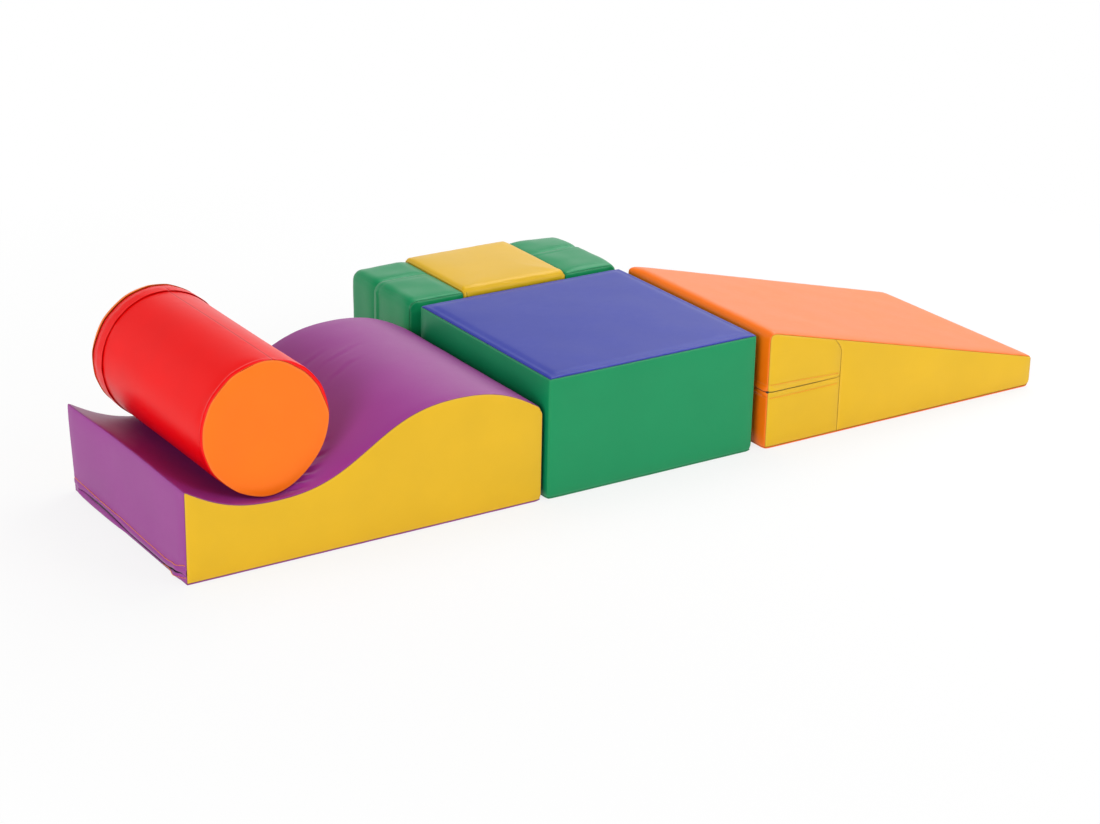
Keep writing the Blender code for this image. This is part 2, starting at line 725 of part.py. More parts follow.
def build_ramp_side(side, plane, facing, toe, slit):
    """One yellow side of the ramp: a long panel, and two short ones over and under the zip."""
    seam = RAMP_SEAM + GAP
    lifted_toe = [(x, max(z, INSET)) for x, z in toe]
    outline = [(seam, INSET)] + lifted_toe + [(RAMP_LOW_END, RAMP_LOW), (seam, ramp_slope(seam))]
    flat_panel(f"ramp_side_{side}", flat(outline, plane, "y"), facing, "yellow_vinyl")
    columns = crown_places(RAMP_TALL_END, RAMP_SEAM, (RAMP_SEAM - FLAP_TAPER,))

    def upper_place(x, row):
        kind, value = row
        foot = slit + FLAP_WIDTH
        height = slit + value if kind == "flap" else foot + value * (ramp_slope(x) - foot)
        end = min(1.0, (RAMP_SEAM - x) / FLAP_TAPER)
        crown = CROWN_RISE * crown_between(x, RAMP_TALL_END, RAMP_SEAM)
        crown *= crown_between(height, slit, ramp_slope(x))
        rise = max(crown, flap_rise(height - slit) * end)
        return Vector((x, plane, height)) + facing * rise

    upper_rows = [("flap", SLIT_HALF), ("flap", FLAP_SHOULDER), ("flap", FLAP_WIDTH)]
    upper_rows += [("share", share) for share in UPPER_ROW_SHARES]
    laid_sheet(
        f"ramp_side_{side}_upper", columns, upper_rows, upper_place, facing, "yellow_vinyl"
    )

    def lower_place(x, height):
        end = min(1.0, (RAMP_SEAM - x) / FLAP_TAPER)
        crown = CROWN_RISE * crown_between(x, RAMP_TALL_END, RAMP_SEAM)
        crown *= crown_between(height, INSET, slit)
        rise = max(crown, flap_rise(slit - height) * end)
        return Vector((x, plane, height)) + facing * rise

    lower_rows = crown_places(
        INSET, slit - FLAP_WIDTH, (slit - FLAP_SHOULDER, slit - SLIT_HALF)
    )
    laid_sheet(
        f"ramp_side_{side}_lower", columns, lower_rows, lower_place, facing, "yellow_vinyl"
    )


def arch_outline(bottom, radius):
    """The arch's section, anticlockwise from its lower left corner; radius is the channel's."""
    right_edge = arc(
        (ARCH_RIGHT - ARCH_EDGE, ARCH_HEIGHT - ARCH_EDGE), ARCH_EDGE, 0, 90, EDGE_SEGMENTS
    )
    channel = arc((ARCH_SHIFT, ARCH_HEIGHT), radius, 0, -180, HALF_SEGMENTS)
    left_edge = arc(
        (ARCH_LEFT + ARCH_EDGE, ARCH_HEIGHT - ARCH_EDGE), ARCH_EDGE, 90, 180, EDGE_SEGMENTS
    )
    corners = [(ARCH_LEFT, bottom), (ARCH_RIGHT, bottom)]
    return corners + right_edge + channel + left_edge


def build_arch():
    """The arch on its back: flat faces front and back, a wrap in two halves with a lapped zip."""
    core = moved_out(arch_outline(0.0, CHANNEL_RADIUS), -INSET)
    prism("arch_foam", core, ARCH_FRONT + INSET, ARCH_BACK - INSET, "foam")
    base_panel("arch_base", ARCH_LEFT, ARCH_RIGHT, ARCH_FRONT, ARCH_BACK, "green_vinyl")
    for side, plane, facing in (
        ("front", ARCH_FRONT, FRONTWARDS), ("back", ARCH_BACK, BACKWARDS),
    ):
        flat_panel(
            f"arch_face_{side}", flat(arch_outline(INSET, CHANNEL_RADIUS), plane, "y"), facing,
            "green_vinyl", CROWN_RISE, ARCH_CROWN_REACH,
        )
    inner_top = CHANNEL_RADIUS + FLAP_TAPER
    above_base = INSET + FLAP_TAPER
    outline = arch_outline(INSET, CHANNEL_RADIUS)[2:]
    channel_start = EDGE_SEGMENTS + 1
    channel_end = channel_start + HALF_SEGMENTS + 1
    right = [(ARCH_RIGHT, INSET), (ARCH_RIGHT, above_base)] + outline[:channel_start]
    right += [(ARCH_SHIFT + inner_top, ARCH_HEIGHT)]
    left = [(ARCH_SHIFT - inner_top, ARCH_HEIGHT)] + outline[channel_end:]
    left += [(ARCH_LEFT, above_base), (ARCH_LEFT, INSET)]
    line = right + outline[channel_start:channel_end] + left
    runs = runs_along(line)
    length = runs[-1]
    channel_run = runs[len(right)]

    def outside(run):
        """One on the outer faces and leg tops, nothing in the channel or at the base."""
        from_base = min(run, length - run)
        return max(0.0, min(1.0, from_base / FLAP_TAPER, (channel_run - from_base) / FLAP_TAPER))

    slit = ARCH_SEAM
    low, high = ARCH_FRONT + INSET, ARCH_BACK - INSET

    def front_rise(run, place):
        crown = CROWN_RISE * crown_between(place, low, high)
        return outside(run) * max(crown, lap_rise(slit - place))

    def back_rise(run, place):
        return outside(run) * CROWN_RISE * crown_between(place, slit, high)

    lap_foot = slit - LAP_WIDTH
    front_rows = [place for place in crown_places(low, high) if place < lap_foot - GAP]
    front_rows += [lap_foot, slit - LAP_SHOULDER, slit - SLIT_HALF]
    wrapped_sheet("arch_wrap_front", line, front_rows, front_rise, "green_vinyl")
    back_rows = crown_places(slit + SLIT_HALF, high)
    wrapped_sheet("arch_wrap_back", line, back_rows, back_rise, "green_vinyl")
    chain_line = slit - FLAP_SHOULDER
    zip_top = ARCH_HEIGHT - ARCH_EDGE
    zip_strips(
        "arch", [(ARCH_LEFT, zip_top), (ARCH_LEFT, ARCH_ZIP_LOW)], chain_line, "y",
        (TAPE_HALF_WIDTH, LAPPED_TAPE_WIDTH),
    )
    slider_solid(
        "arch_zip_slider", Vector((ARCH_LEFT, chain_line, zip_top - SLIDER_LENGTH)),
        -UPWARDS, Vector((-1, 0, 0)),
    )


def half_round_outline():
    """The half-round's section, anticlockwise from its upper left edge, flat side up."""
    curve = arc((ARCH_SHIFT, ARCH_HEIGHT), HALF_RADIUS, 180, 360, HALF_SEGMENTS)
    right, left = ARCH_SHIFT + HALF_RADIUS, ARCH_SHIFT - HALF_RADIUS
    right_edge = arc((right - HALF_RISE, ARCH_HEIGHT), HALF_RISE, 0, 90, EDGE_SEGMENTS)
    left_edge = arc((left + HALF_RISE, ARCH_HEIGHT), HALF_RISE, 90, 180, EDGE_SEGMENTS)
    return curve + right_edge[1:] + left_edge[:-1]


def half_width(height):
    """Half the half-round's width at a height."""
    below = max(0.0, ARCH_HEIGHT - height)
    above = max(0.0, height - ARCH_HEIGHT)
    if below:
        return math.sqrt(HALF_RADIUS ** 2 - below ** 2)
    return HALF_RADIUS - HALF_RISE + math.sqrt(max(0.0, HALF_RISE ** 2 - above ** 2))


def build_half_round():
    """A half cylinder, flat side up: rolled top, curved wrap, and ends, the back one zipped."""
    low, high = ARCH_FRONT + INSET, ARCH_BACK - INSET
    outline = half_round_outline()
    prism("half_round_foam", moved_out(outline, -INSET), low, high, "foam")
    flat_panel(
        "half_round_end_front", flat(outline, ARCH_FRONT, "y"), FRONTWARDS, "yellow_vinyl"
    )
    curve = outline[:HALF_SEGMENTS + 1]
    wrapped_sheet("half_round_wrap", curve, [low, high], no_rise, "yellow_vinyl")
    rolled = outline[HALF_SEGMENTS:] + [outline[0]]
    rolled[0] = (rolled[0][0], rolled[0][1] + GAP)
    rolled[-1] = (rolled[-1][0], rolled[-1][1] + GAP)
    left, right = ARCH_SHIFT - HALF_RADIUS, ARCH_SHIFT + HALF_RADIUS
    flat_places = crown_places(left + HALF_RISE, right - HALF_RISE)[1:-1]
    edge = len(rolled) // 2
    rolled[edge:edge] = [(place, HALF_TOP) for place in reversed(flat_places)]
    runs = runs_along(rolled)

    def top_rise(run, place):
        return CROWN_RISE * crown_between(run, 0.0, runs[-1]) * crown_between(place, low, high)

    wrapped_sheet(
        "half_round_top", rolled, crown_places(low, high), top_rise, "yellow_vinyl"
    )
    slit = HALF_TOP - HALF_TURN_DOWN
    lower = [point for point in outline if point[1] < slit]
    reach = half_width(slit - SLIT_HALF)
    lower = [(ARCH_SHIFT - reach, slit - SLIT_HALF)] + lower
    lower += [(ARCH_SHIFT + reach, slit - SLIT_HALF)]
    flat_panel(
        "half_round_end_back_lower", flat(lower, ARCH_BACK, "y"), BACKWARDS, "yellow_vinyl"
    )
    ends = HALF_RADIUS * HALF_END_SHARE
    columns = [-HALF_RADIUS, -ends, ends, HALF_RADIUS]

    def upper_place(column, height):
        x = column / HALF_RADIUS * half_width(height)
        rise = lap_rise(height - slit) if abs(column) < HALF_RADIUS else 0.0
        return Vector((ARCH_SHIFT + x, ARCH_BACK + rise, height))

    upper_rows = [
        slit + SLIT_HALF, slit + LAP_SHOULDER, slit + LAP_WIDTH, ARCH_HEIGHT,
        ARCH_HEIGHT + HALF_RISE / 2, HALF_TOP,
    ]
    laid_sheet(
        "half_round_end_back_upper", columns, upper_rows, upper_place, BACKWARDS,
        "yellow_vinyl",
    )
    zip_reach = ends - ZIP_END
    chain_line = slit + FLAP_SHOULDER
    zip_strips(
        "half_round",
        [(ARCH_SHIFT + zip_reach, ARCH_BACK), (ARCH_SHIFT - zip_reach, ARCH_BACK)],
        chain_line, "z", (LAPPED_TAPE_WIDTH, TAPE_HALF_WIDTH),
    )
    slider_solid(
        "half_round_zip_slider",
        Vector((ARCH_SHIFT + zip_reach - SLIDER_LENGTH, ARCH_BACK, chain_line)),
        Vector((-1, 0, 0)), BACKWARDS,
    )


clear_objects()
PARTS = new_collection("soft_play_foam_climber")
build_cube()
build_wave()
build_roll()
build_ramp()
build_arch()
build_half_round()
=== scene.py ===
"""Looks of a soft play foam climber: six foam blocks in sewn vinyl covers, on a white floor.

Metres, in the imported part's frame. Every panel of a cover is a fine grid laid on its face of the
block, filled out between its seams and rolled over where two faces meet.
"""

import math
from bisect import bisect_right

import bmesh
import bpy
from mathutils import Matrix, Quaternion, Vector, noise


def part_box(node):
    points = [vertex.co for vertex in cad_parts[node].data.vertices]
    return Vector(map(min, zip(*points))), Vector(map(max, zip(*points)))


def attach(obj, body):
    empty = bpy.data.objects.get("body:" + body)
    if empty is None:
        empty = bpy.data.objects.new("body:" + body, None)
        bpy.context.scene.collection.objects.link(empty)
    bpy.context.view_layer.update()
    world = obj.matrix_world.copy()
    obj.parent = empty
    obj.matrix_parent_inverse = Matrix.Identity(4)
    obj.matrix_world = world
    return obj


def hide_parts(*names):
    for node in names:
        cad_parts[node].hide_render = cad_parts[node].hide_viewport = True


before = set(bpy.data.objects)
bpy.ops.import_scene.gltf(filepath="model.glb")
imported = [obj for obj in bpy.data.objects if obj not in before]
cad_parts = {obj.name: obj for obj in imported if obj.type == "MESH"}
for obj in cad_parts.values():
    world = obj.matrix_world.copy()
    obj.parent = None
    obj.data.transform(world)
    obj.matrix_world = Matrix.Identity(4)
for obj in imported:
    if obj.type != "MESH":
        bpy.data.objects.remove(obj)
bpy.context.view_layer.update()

# Covers and seams
SKIN = 0.001
INSET = 0.0013
FOAM_INSET = 0.0014
SEAM_GAP = 0.00015
SEAM_STEPS = (0.0, 0.0006, 0.0013, 0.0022, 0.0034, 0.005, 0.0075, 0.011, 0.016)
TWIN_GAP = 0.00025
STEP = 0.006
ROLL_SHARE = 0.293
SEAM_ROUND = 0.004
BASE_ROUND = 0.0025
BASE_LIFT = 0.0035
CROWN = 0.003
CROWN_REACH = 0.050
SWELL = 0.0007
SWELL_SIZE = 0.085
SWELL_REACH = 0.030
PUCKER = 0.0003
PUCKER_GAP = 0.006
PUCKER_SIZE = 0.012

# Panels swollen as cloth
HELD_WIDTH = 0.003
STUFFING = 4.0
STUFFING_FRAMES = 14
MOST_SWELL = 0.0025
STUFFED = (
    "cube_top_sewn", "wave_side_front_sewn", "wave_side_back_sewn", "ramp_side_front_sewn",
    "ramp_side_back_sewn", "arch_face_front_sewn", "arch_face_back_sewn", "half_round_top_sewn",
)

# Zip flaps, laps and stitches
FLAP_RISE = 0.0037
FLAP_SHOULDER = 0.006
FLAP_WIDTH = 0.014
FLAP_TAPER = 0.012
FLAP_LIP = 0.0035
SLIT_HALF = 0.0008
SLIT_STEPS = (0.0008, 0.0014, 0.0024, 0.0036, 0.005, 0.007, 0.009, 0.011, 0.0128, 0.014, 0.0152)
STITCH_GROOVE = 0.0005
GROOVE_WIDTH = 0.0012
STITCH_LENGTH = 0.0036
STITCH_RADIUS = 0.0009
STITCH_PITCH = 0.0042
STITCH_MARGIN = 0.003
LAP_WIDTH = 0.020
LAP_SHOULDER = 0.012

# Blocks, from the boxes of their bases and the heights of the set
CUBE_HEIGHT = 0.250
CUBE_CROWN = 0.0042
LOW_SLIT = INSET + FLAP_WIDTH
WAVE_MIDDLE = 0.1885
WAVE_SWING = 0.0655
WAVE_FLATTENING = 0.0035
WAVE_PERIOD = 0.768
WAVE_VALLEY_AT = 0.182
WAVE_CROWN = 0.0012
WAVE_SEGMENTS = 120
LOW_END_GAP = 0.0030
LOW_END_RISE = 0.0022
LOW_END_BULGE = 0.0065
WAVE_TOP_ROUNDS = (0.008, 0.003, 0.012, 0.003)
UNDER_ROLL = 0.0056
WRAP_PUSH = 0.0030
STRIP_PUSH = 0.0039
SLIDER_REACH = 0.013
RAMP_TALL = 0.2525
RAMP_LOW = 0.0687
RAMP_TOE = 0.010
RAMP_SEAM_AT = 0.188
RAMP_SLIT = 0.125
RAMP_UPPER = 0.115
RAMP_TOP_ROUNDS = (0.022, SEAM_ROUND, 0.006, SEAM_ROUND)
RAMP_BASE_ROUNDS = (BASE_ROUND, BASE_ROUND, RAMP_TOE, BASE_ROUND)
UPPER_CROWN = 0.004
UPPER_FLAP = 1.3
LOWER_FLAP = 0.9
ARCH_HEIGHT = 0.253
ARCH_EDGE = 0.016
ARCH_SEAM_AT = 0.142
ARCH_LAP = 0.0024
ARCH_FULLNESS = 0.0024
CHANNEL_RADIUS = 0.127
HALF_RADIUS = 0.1265
HALF_RISE = 0.006
HALF_TURN_DOWN = 0.036
HALF_FRONT_DROP = 0.018
HALF_CORNER_SEAM = 0.007
ROLL_BAND = 0.034
ROLL_LAP = 0.015
ROUND_COLUMNS = 204

CUBE_LOW, CUBE_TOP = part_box("cube_base")
WAVE_LOW, WAVE_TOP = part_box("wave_base")
RAMP_LOW_BOX, RAMP_TOP_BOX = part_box("ramp_foam")
ARCH_LOW, ARCH_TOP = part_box("arch_base")
ROLL_LOW, ROLL_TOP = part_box("roll_foam")
HALF_LOW, HALF_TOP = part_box("half_round_foam")
SLIDER_AT = sum(corner.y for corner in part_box("wave_zip_slider")) / 2
SLIDER_TRAVEL = 0.43

VIEW = (0.514, 0.7751, -0.3675)
DIFFUSE_SKY = 0.5

LEFTWARDS = Vector((-1, 0, 0))
RIGHTWARDS = Vector((1, 0, 0))
FRONTWARDS = Vector((0, -1, 0))
BACKWARDS = Vector((0, 1, 0))
UPWARDS = Vector((0, 0, 1))
DOWNWARDS = Vector((0, 0, -1))
SIDES = ("left", "front", "right", "back")


class Shade:
    """A socket that adds Math nodes where it is used in an expression."""

    def __init__(self, tree, socket):
        self.tree = tree
        self.socket = socket

    def math(self, operation, *values, clamp=False):
        made = self.tree.nodes.new("ShaderNodeMath")
        made.operation = operation
        made.use_clamp = clamp
        for socket, value in zip(made.inputs, values):
            if isinstance(value, Shade):
                self.tree.links.new(value.socket, socket)
            else:
                socket.default_value = value
        return Shade(self.tree, made.outputs[0])

    def __add__(self, other):
        return self.math("ADD", self, other)

    __radd__ = __add__

    def __mul__(self, other):
        return self.math("MULTIPLY", self, other)

    __rmul__ = __mul__

    def __sub__(self, other):
        return self.math("SUBTRACT", self, other)

    def __rsub__(self, other):
        return self.math("SUBTRACT", other, self)

    def __truediv__(self, other):
        return self.math("DIVIDE", self, other)

    def __pow__(self, other):
        return self.math("POWER", self, other)

    def clamped(self):
        return self.math("ADD", self, 0.0, clamp=True)


class Finish:
    """The nodes of one material or world."""

    def __init__(self, tree):
        self.tree = tree
        tree.nodes.clear()

    def node(self, kind, inputs=None, settings=None, output=0):
        """Add a shader node: first its settings, then its sockets, by name or by number."""
        made = self.tree.nodes.new(f"ShaderNode{kind}")
        for key, value in (settings or {}).items():
            setattr(made, key, value)
        for key, value in (inputs or {}).items():
            if isinstance(value, Shade):
                self.tree.links.new(value.socket, made.inputs[key])
            else:
                made.inputs[key].default_value = value
        if made.outputs:
            return Shade(self.tree, made.outputs[output])

    def mixed(self, share, low, high):
        """A colour between two colours."""
        return self.node("Mix", {0: share, 6: low, 7: high}, {"data_type": "RGBA"}, 2)

    def cloud(self, place, scale, detail=2.0):
        return self.node("TexNoise", {"Vector": place, "Scale": scale, "Detail": detail})

    def ribs(self, place, scale, distortion=0.0, detail=2.0):
        inputs = {"Vector": place, "Scale": scale, "Distortion": distortion, "Detail": detail}
        return self.node("TexWave", inputs, {"bands_direction": "DIAGONAL"})

    def surface(self, colour, roughness, bump=None, more=None):
        """The finished surface. A bump is its strength, its depth and its height at a place."""
        inputs = {"Base Color": colour, "Roughness": roughness, **(more or {})}
        if bump:
            named = dict(zip(("Strength", "Distance", "Height"), bump))
            inputs["Normal"] = self.node("Bump", named)
        self.node("OutputMaterial", {"Surface": self.node("BsdfPrincipled", inputs)})


def new_material(name):
    """A material, its nodes, and the place on the piece that its textures follow."""
    material = bpy.data.materials.new(name)
    material.use_nodes = True
    finish = Finish(material.node_tree)
    return material, finish, finish.node("TexCoord", output="Object")


def linear(red, green, blue):
    """A colour written in the 0 to 255 of a screen, as the shaders take it."""
    values = []
    for part in (red, green, blue):
        share = part / 255
        values.append(share / 12.92 if share <= 0.04045 else ((share + 0.055) / 1.055) ** 2.4)
    return (*values, 1.0)


def scaled_colour(colour, share):
    return (*(min(1.0, part * share) for part in colour[:3]), 1.0)


def stretch_pale_highlight_colour(colour):
    """The paler tone of vinyl stretched over an edge, also used as a painted highlight along a
    rolled edge.
    """
    return (*(part + (1 - part) * 0.22 for part in colour[:3]), 1.0)


def vinyl(name, colour, roughness=0.38, shine=0.28):
    """Coated vinyl: fine grain, slow waves, a soft gloss, painted shade in the seam creases, and a
    paler band beside them that is partly stretched vinyl and partly painted highlight.
    """
    material, finish, place = new_material(name)
    from_seam = finish.node("Attribute", None, {"attribute_name": "from_seam"}, "Fac")
    cloudy = finish.cloud(place, 9.0, 3.0)
    streaky = finish.cloud(place, 55.0, 4.0)
    cells = finish.node(
        "TexVoronoi", {"Vector": place, "Scale": 850.0}, {"feature": "SMOOTH_F1"}
    )
    fine = finish.cloud(place, 1600.0)
    # Painted shade: within 1.6 mm of a seam the colour is darkened towards a quarter of itself,
    # standing in for the shadow in the seam's crease.
    crease = (1 - from_seam / 0.0016).clamped() ** 1.5
    # Partly stretched vinyl and partly painted highlight: a paler band from the seam out to about
    # 5.5 mm, for the light that a rolled edge catches.
    worn = (1 - (from_seam - 0.002) / 0.0035).clamped() * (1 - crease) * (0.5 + streaky)
    body = finish.mixed(
        (cloudy - 0.25).clamped(), scaled_colour(colour, 0.93), scaled_colour(colour, 1.07)
    )
    # The paler band beside the seams, partly stretched vinyl and partly painted highlight.
    stretch_paled_and_highlit = finish.mixed(worn * 0.07, body, stretch_pale_highlight_colour(colour))
    # Painted shade darkens the seam creases here.
    sewn = finish.mixed(crease * 0.70, stretch_paled_and_highlit, scaled_colour(colour, 0.25))
    gloss = roughness - 0.04 + 0.10 * streaky * cloudy + 0.05 * cells
    grain = (0.05, 0.0004, cells * 0.6 + fine * 0.4)
    finish.surface(sewn, gloss, grain, {"Specular IOR Level": shine})
    return material


def foam_material():
    """Cut open cell foam: pale, matt and pitted."""
    material, finish, place = new_material("cut_foam")
    pits = finish.node("TexVoronoi", {"Vector": place, "Scale": 420.0})
    cloudy = finish.cloud(place, 14.0, 4.0)
    body = finish.mixed(
        (pits + cloudy - 0.5).clamped(), linear(214, 203, 168), linear(243, 236, 212)
    )
    finish.surface(body, 0.94 + 0.05 * cloudy, (0.5, 0.0006, pits))
    return material


def tape_material():
    """Woven zip tape: ribs across its width, with a nap."""
    material, finish, place = new_material("woven_tape")
    ribs = finish.ribs(place, 320.0, 0.6, 1.0)
    nap = finish.cloud(place, 900.0)
    body = finish.mixed(ribs * 0.6 + nap * 0.3, linear(26, 22, 26), linear(58, 50, 56))
    finish.surface(body, 0.85 + 0.1 * nap, (0.6, 0.0002, ribs + nap))
    return material


def coil_material():
    """Nylon zip coil: close turns with a soft shine."""
    material, finish, place = new_material("nylon_coil")
    turns = finish.ribs(place, 450.0)
    body = finish.mixed(turns, linear(26, 26, 27), linear(70, 70, 72))
    finish.surface(body, 0.52 - 0.15 * turns, (0.9, 0.0005, turns))
    return material


def slider_material():
    """Cast zinc slider: grey metal with a brushed wear."""
    material, finish, place = new_material("cast_zinc")
    scratches = finish.cloud(place, 700.0, 4.0)
    body = finish.mixed(scratches, linear(150, 150, 154), linear(205, 205, 208))
    rough = 0.3 + 0.2 * scratches
    finish.surface(body, rough, (0.2, 0.0002, scratches), {"Metallic": 1.0})
    return material


def thread_material(colour):
    """Bonded polyester thread: twisted, slightly shiny."""
    material, finish, place = new_material("orange_thread")
    twist = finish.cloud(place, 2400.0)
    body = finish.mixed(twist, scaled_colour(colour, 0.7), scaled_colour(colour, 1.15))
    finish.surface(body, 0.5 + 0.2 * twist)
    return material


VINYLS = {
    "blue_vinyl": vinyl("blue_vinyl_cover", linear(36, 50, 158), shine=0.21),
    "green_vinyl": vinyl("green_vinyl_cover", linear(10, 140, 86)),
    "purple_vinyl": vinyl("purple_vinyl_cover", linear(152, 52, 142)),
    "yellow_vinyl": vinyl("yellow_vinyl_cover", linear(224, 178, 26)),
    "orange_vinyl": vinyl("orange_vinyl_cover", linear(255, 118, 8)),
    "red_vinyl": vinyl("red_vinyl_cover", linear(242, 3, 3), 0.33, 0.10),
}
FOAM = foam_material()
TAPE = tape_material()
COIL = coil_material()
ZINC = slider_material()
THREAD = thread_material(linear(255, 150, 48))


def risen(share):
    """How much of its crown a filled panel has, from its seam at 0 to its full height at 1."""
    share = max(0.0, min(1.0, share))
    return 1 - (1 - share) ** 4


def smooth(share):
    """A soft step from 0 to 1."""
    share = max(0.0, min(1.0, share))
    return share * share * (3 - 2 * share)


def bell(distance, width):
    """One at its middle, and next to nothing at twice the width from it."""
    return math.exp(-(distance / width) ** 2)


def without_twins(places):
    kept = []
    for place in sorted(places):
        if not kept or place - kept[-1] > TWIN_GAP:
            kept.append(place)
    return kept


def spread(low, high, step=STEP, marks=()):
    """Places from seam to seam: close together at both seams, and even between them."""
    near = [gap for gap in SEAM_STEPS if gap < 0.4 * (high - low)]
    start, end = low + near[-1], high - near[-1]
    count = max(1, round((end - start) / step))
    even = [start + (end - start) * index / count for index in range(1, count)]
    edges = [low + gap for gap in near] + [high - gap for gap in near]
    return without_twins(edges + even + [mark for mark in marks if low < mark < high])


def within(low, high, step=STEP, marks=()):
    """Places between two seams, with room for both."""
    return spread(low + SEAM_GAP, high - SEAM_GAP, step, marks)


def shares_of(height):
    """Places up a panel of about this height, as shares of it."""
    return [place / height for place in spread(0.0, height)]


def around(place):
    """Places close together on both sides of a slit, a stitch line or a lap."""
    return [place - step for step in SLIT_STEPS] + [place + step for step in SLIT_STEPS]


class Outline:
    """Parts of a line, each a list of flat points, by the run along them.

    It runs anticlockwise, so that its outward side is on its right.
    """

    def __init__(self, *parts):
        self.parts = []
        run = 0.0
        for part in parts:
            points = [Vector(point) for point in part]
            sides = [(after - before) for before, after in zip(points, points[1:])]
            normals = [Vector((side.y, -side.x)).normalized() for side in sides]
            joined = [normals[0]]
            joined += [(one + two).normalized() for one, two in zip(normals, normals[1:])]
            joined.append(normals[-1])
            runs = [run]
            for side in sides:
                runs.append(runs[-1] + side.length)
            self.parts.append((runs, points, joined))
            run = runs[-1]
        self.length = run

    def at(self, run):
        """The point, its normal, and the runs back and on to the ends of its part."""
        for runs, points, normals in self.parts:
            if run <= runs[-1] or runs is self.parts[-1][0]:
                break
        index = min(len(runs) - 2, max(0, bisect_right(runs, run) - 1))
        share = (run - runs[index]) / (runs[index + 1] - runs[index])
        point = points[index].lerp(points[index + 1], share)
        normal = normals[index].lerp(normals[index + 1], share).normalized()
        return point, normal, run - runs[0], runs[-1] - run

    def places(self, step=STEP, marks=()):
        found = []
        for runs, _, _ in self.parts:
            found += spread(runs[0], runs[-1], step)
        return without_twins(found + list(marks))

    def places_to_slit(self):
        """Places along a line that ends at a zip's slit."""
        found = self.places(marks=around(self.length))
        return [place for place in found if place <= self.length - SLIT_HALF]


def legs(*corners):
    """The straight parts of a line from corner to corner."""
    return list(zip(corners, corners[1:]))


def arc(centre, radius, start, end, segments=72):
    """Flat points round an arc, with angles in degrees."""
    points = []
    for index in range(segments + 1):
        angle = math.radians(start + (end - start) * index / segments)
        points.append((centre[0] + radius * math.cos(angle), centre[1] + radius * math.sin(angle)))
    return points


def wall(place, normal):
    """A flat face: how far a point is behind it, and which way it looks."""
    level = place.dot(normal)
    return lambda point: level - point.dot(normal), lambda point: normal


def round_wall(from_middle, radius, inward=False):
    """A round face, by the way to a point from its middle; a channel's looks inwards."""
    sign = -1 if inward else 1
    return (
        lambda point: sign * (radius - from_middle(point).length),
        lambda point: from_middle(point).normalized(),
    )


def box_faces(low, high):
    return {
        "left": wall(low, LEFTWARDS), "right": wall(high, RIGHTWARDS),
        "front": wall(low, FRONTWARDS), "back": wall(high, BACKWARDS),
        "top": wall(high, UPWARDS), "base": wall(low, DOWNWARDS),
    }


def box_edges(tops, bases=(BASE_ROUND,) * 4):
    """How round a block's edges are: its uprights, and each side's edge at the top and base."""
    edges = [(one, two, SEAM_ROUND) for one, two in zip(SIDES, SIDES[1:] + SIDES[:1])]
    edges += [(side, "top", radius) for side, radius in zip(SIDES, tops)]
    return edges + [(side, "base", radius) for side, radius in zip(SIDES, bases)]


def base_tucks(low, high, amount=0.002, reach=0.014):
    """The bottom corners of a block, which draw in."""
    tucks = []
    for x, pull_x in ((low.x, 1), (high.x, -1)):
        for y, pull_y in ((low.y, 1), (high.y, -1)):
            tucks.append((Vector((x, y, 0)), Vector((pull_x, pull_y, 0)) * amount, reach))
    return tucks


class Block:
    """The faces of one block, how round the edges between them are, and where it gives way.

    Over a soft edge the cover runs on without a seam. A tuck is a place, the step that the cover
    makes there, and how far round it the cover follows.
    """

    def __init__(self, body, faces, edges, tucks=(), soft=()):
        self.body = body
        self.faces = faces
        self.edges = edges
        self.tucks = tucks
        self.soft = soft

    def near_edge(self, point, first, second):
        """How far a point is from an edge, and each face's own gap and normal."""
        gap_first, normal_first = self.faces[first]
        gap_second, normal_second = self.faces[second]
        gaps = max(0.0, gap_first(point)), max(0.0, gap_second(point))
        return max(gaps), gaps, (normal_first, normal_second)

    def rolled(self, point):
        """The step from the sharp form at a point to the form with rolled edges."""
        step = Vector((0, 0, 0))
        for first, second, radius in self.edges:
            gap, _, normals = self.near_edge(point, first, second)
            if gap < radius:
                both = normals[0](point) + normals[1](point)
                step -= both * (ROLL_SHARE * radius * (1 - gap / radius) ** 2)
        for corner, pull, reach in self.tucks:
            gap = (point - corner).length
            if gap < reach:
                step += pull * smooth(1 - gap / reach)
        return step

    def blended(self, point, normal):
        """The normal at a point, turned smoothly from face to face over a soft edge."""
        for first, second, reach in self.soft:
            gap, gaps, normals = self.near_edge(point, first, second)
            if gap < reach:
                total = normals[0](point) * smooth(1 - gaps[0] / reach)
                total += normals[1](point) * smooth(1 - gaps[1] / reach)
                return total.normalized()
        return normal


def waver(point, size, offset=0.0):
    """A smooth chance value from -1 to 1 at a place."""
    return noise.noise(point / size + Vector((offset, 2.7 * offset, 1.3)))


def waver_round(angle, size, along=0.0, offset=0.0):
    """The same round a circle and along it."""
    return waver(Vector((math.cos(angle) * size, along, math.sin(angle) * size)), 1.0, offset)


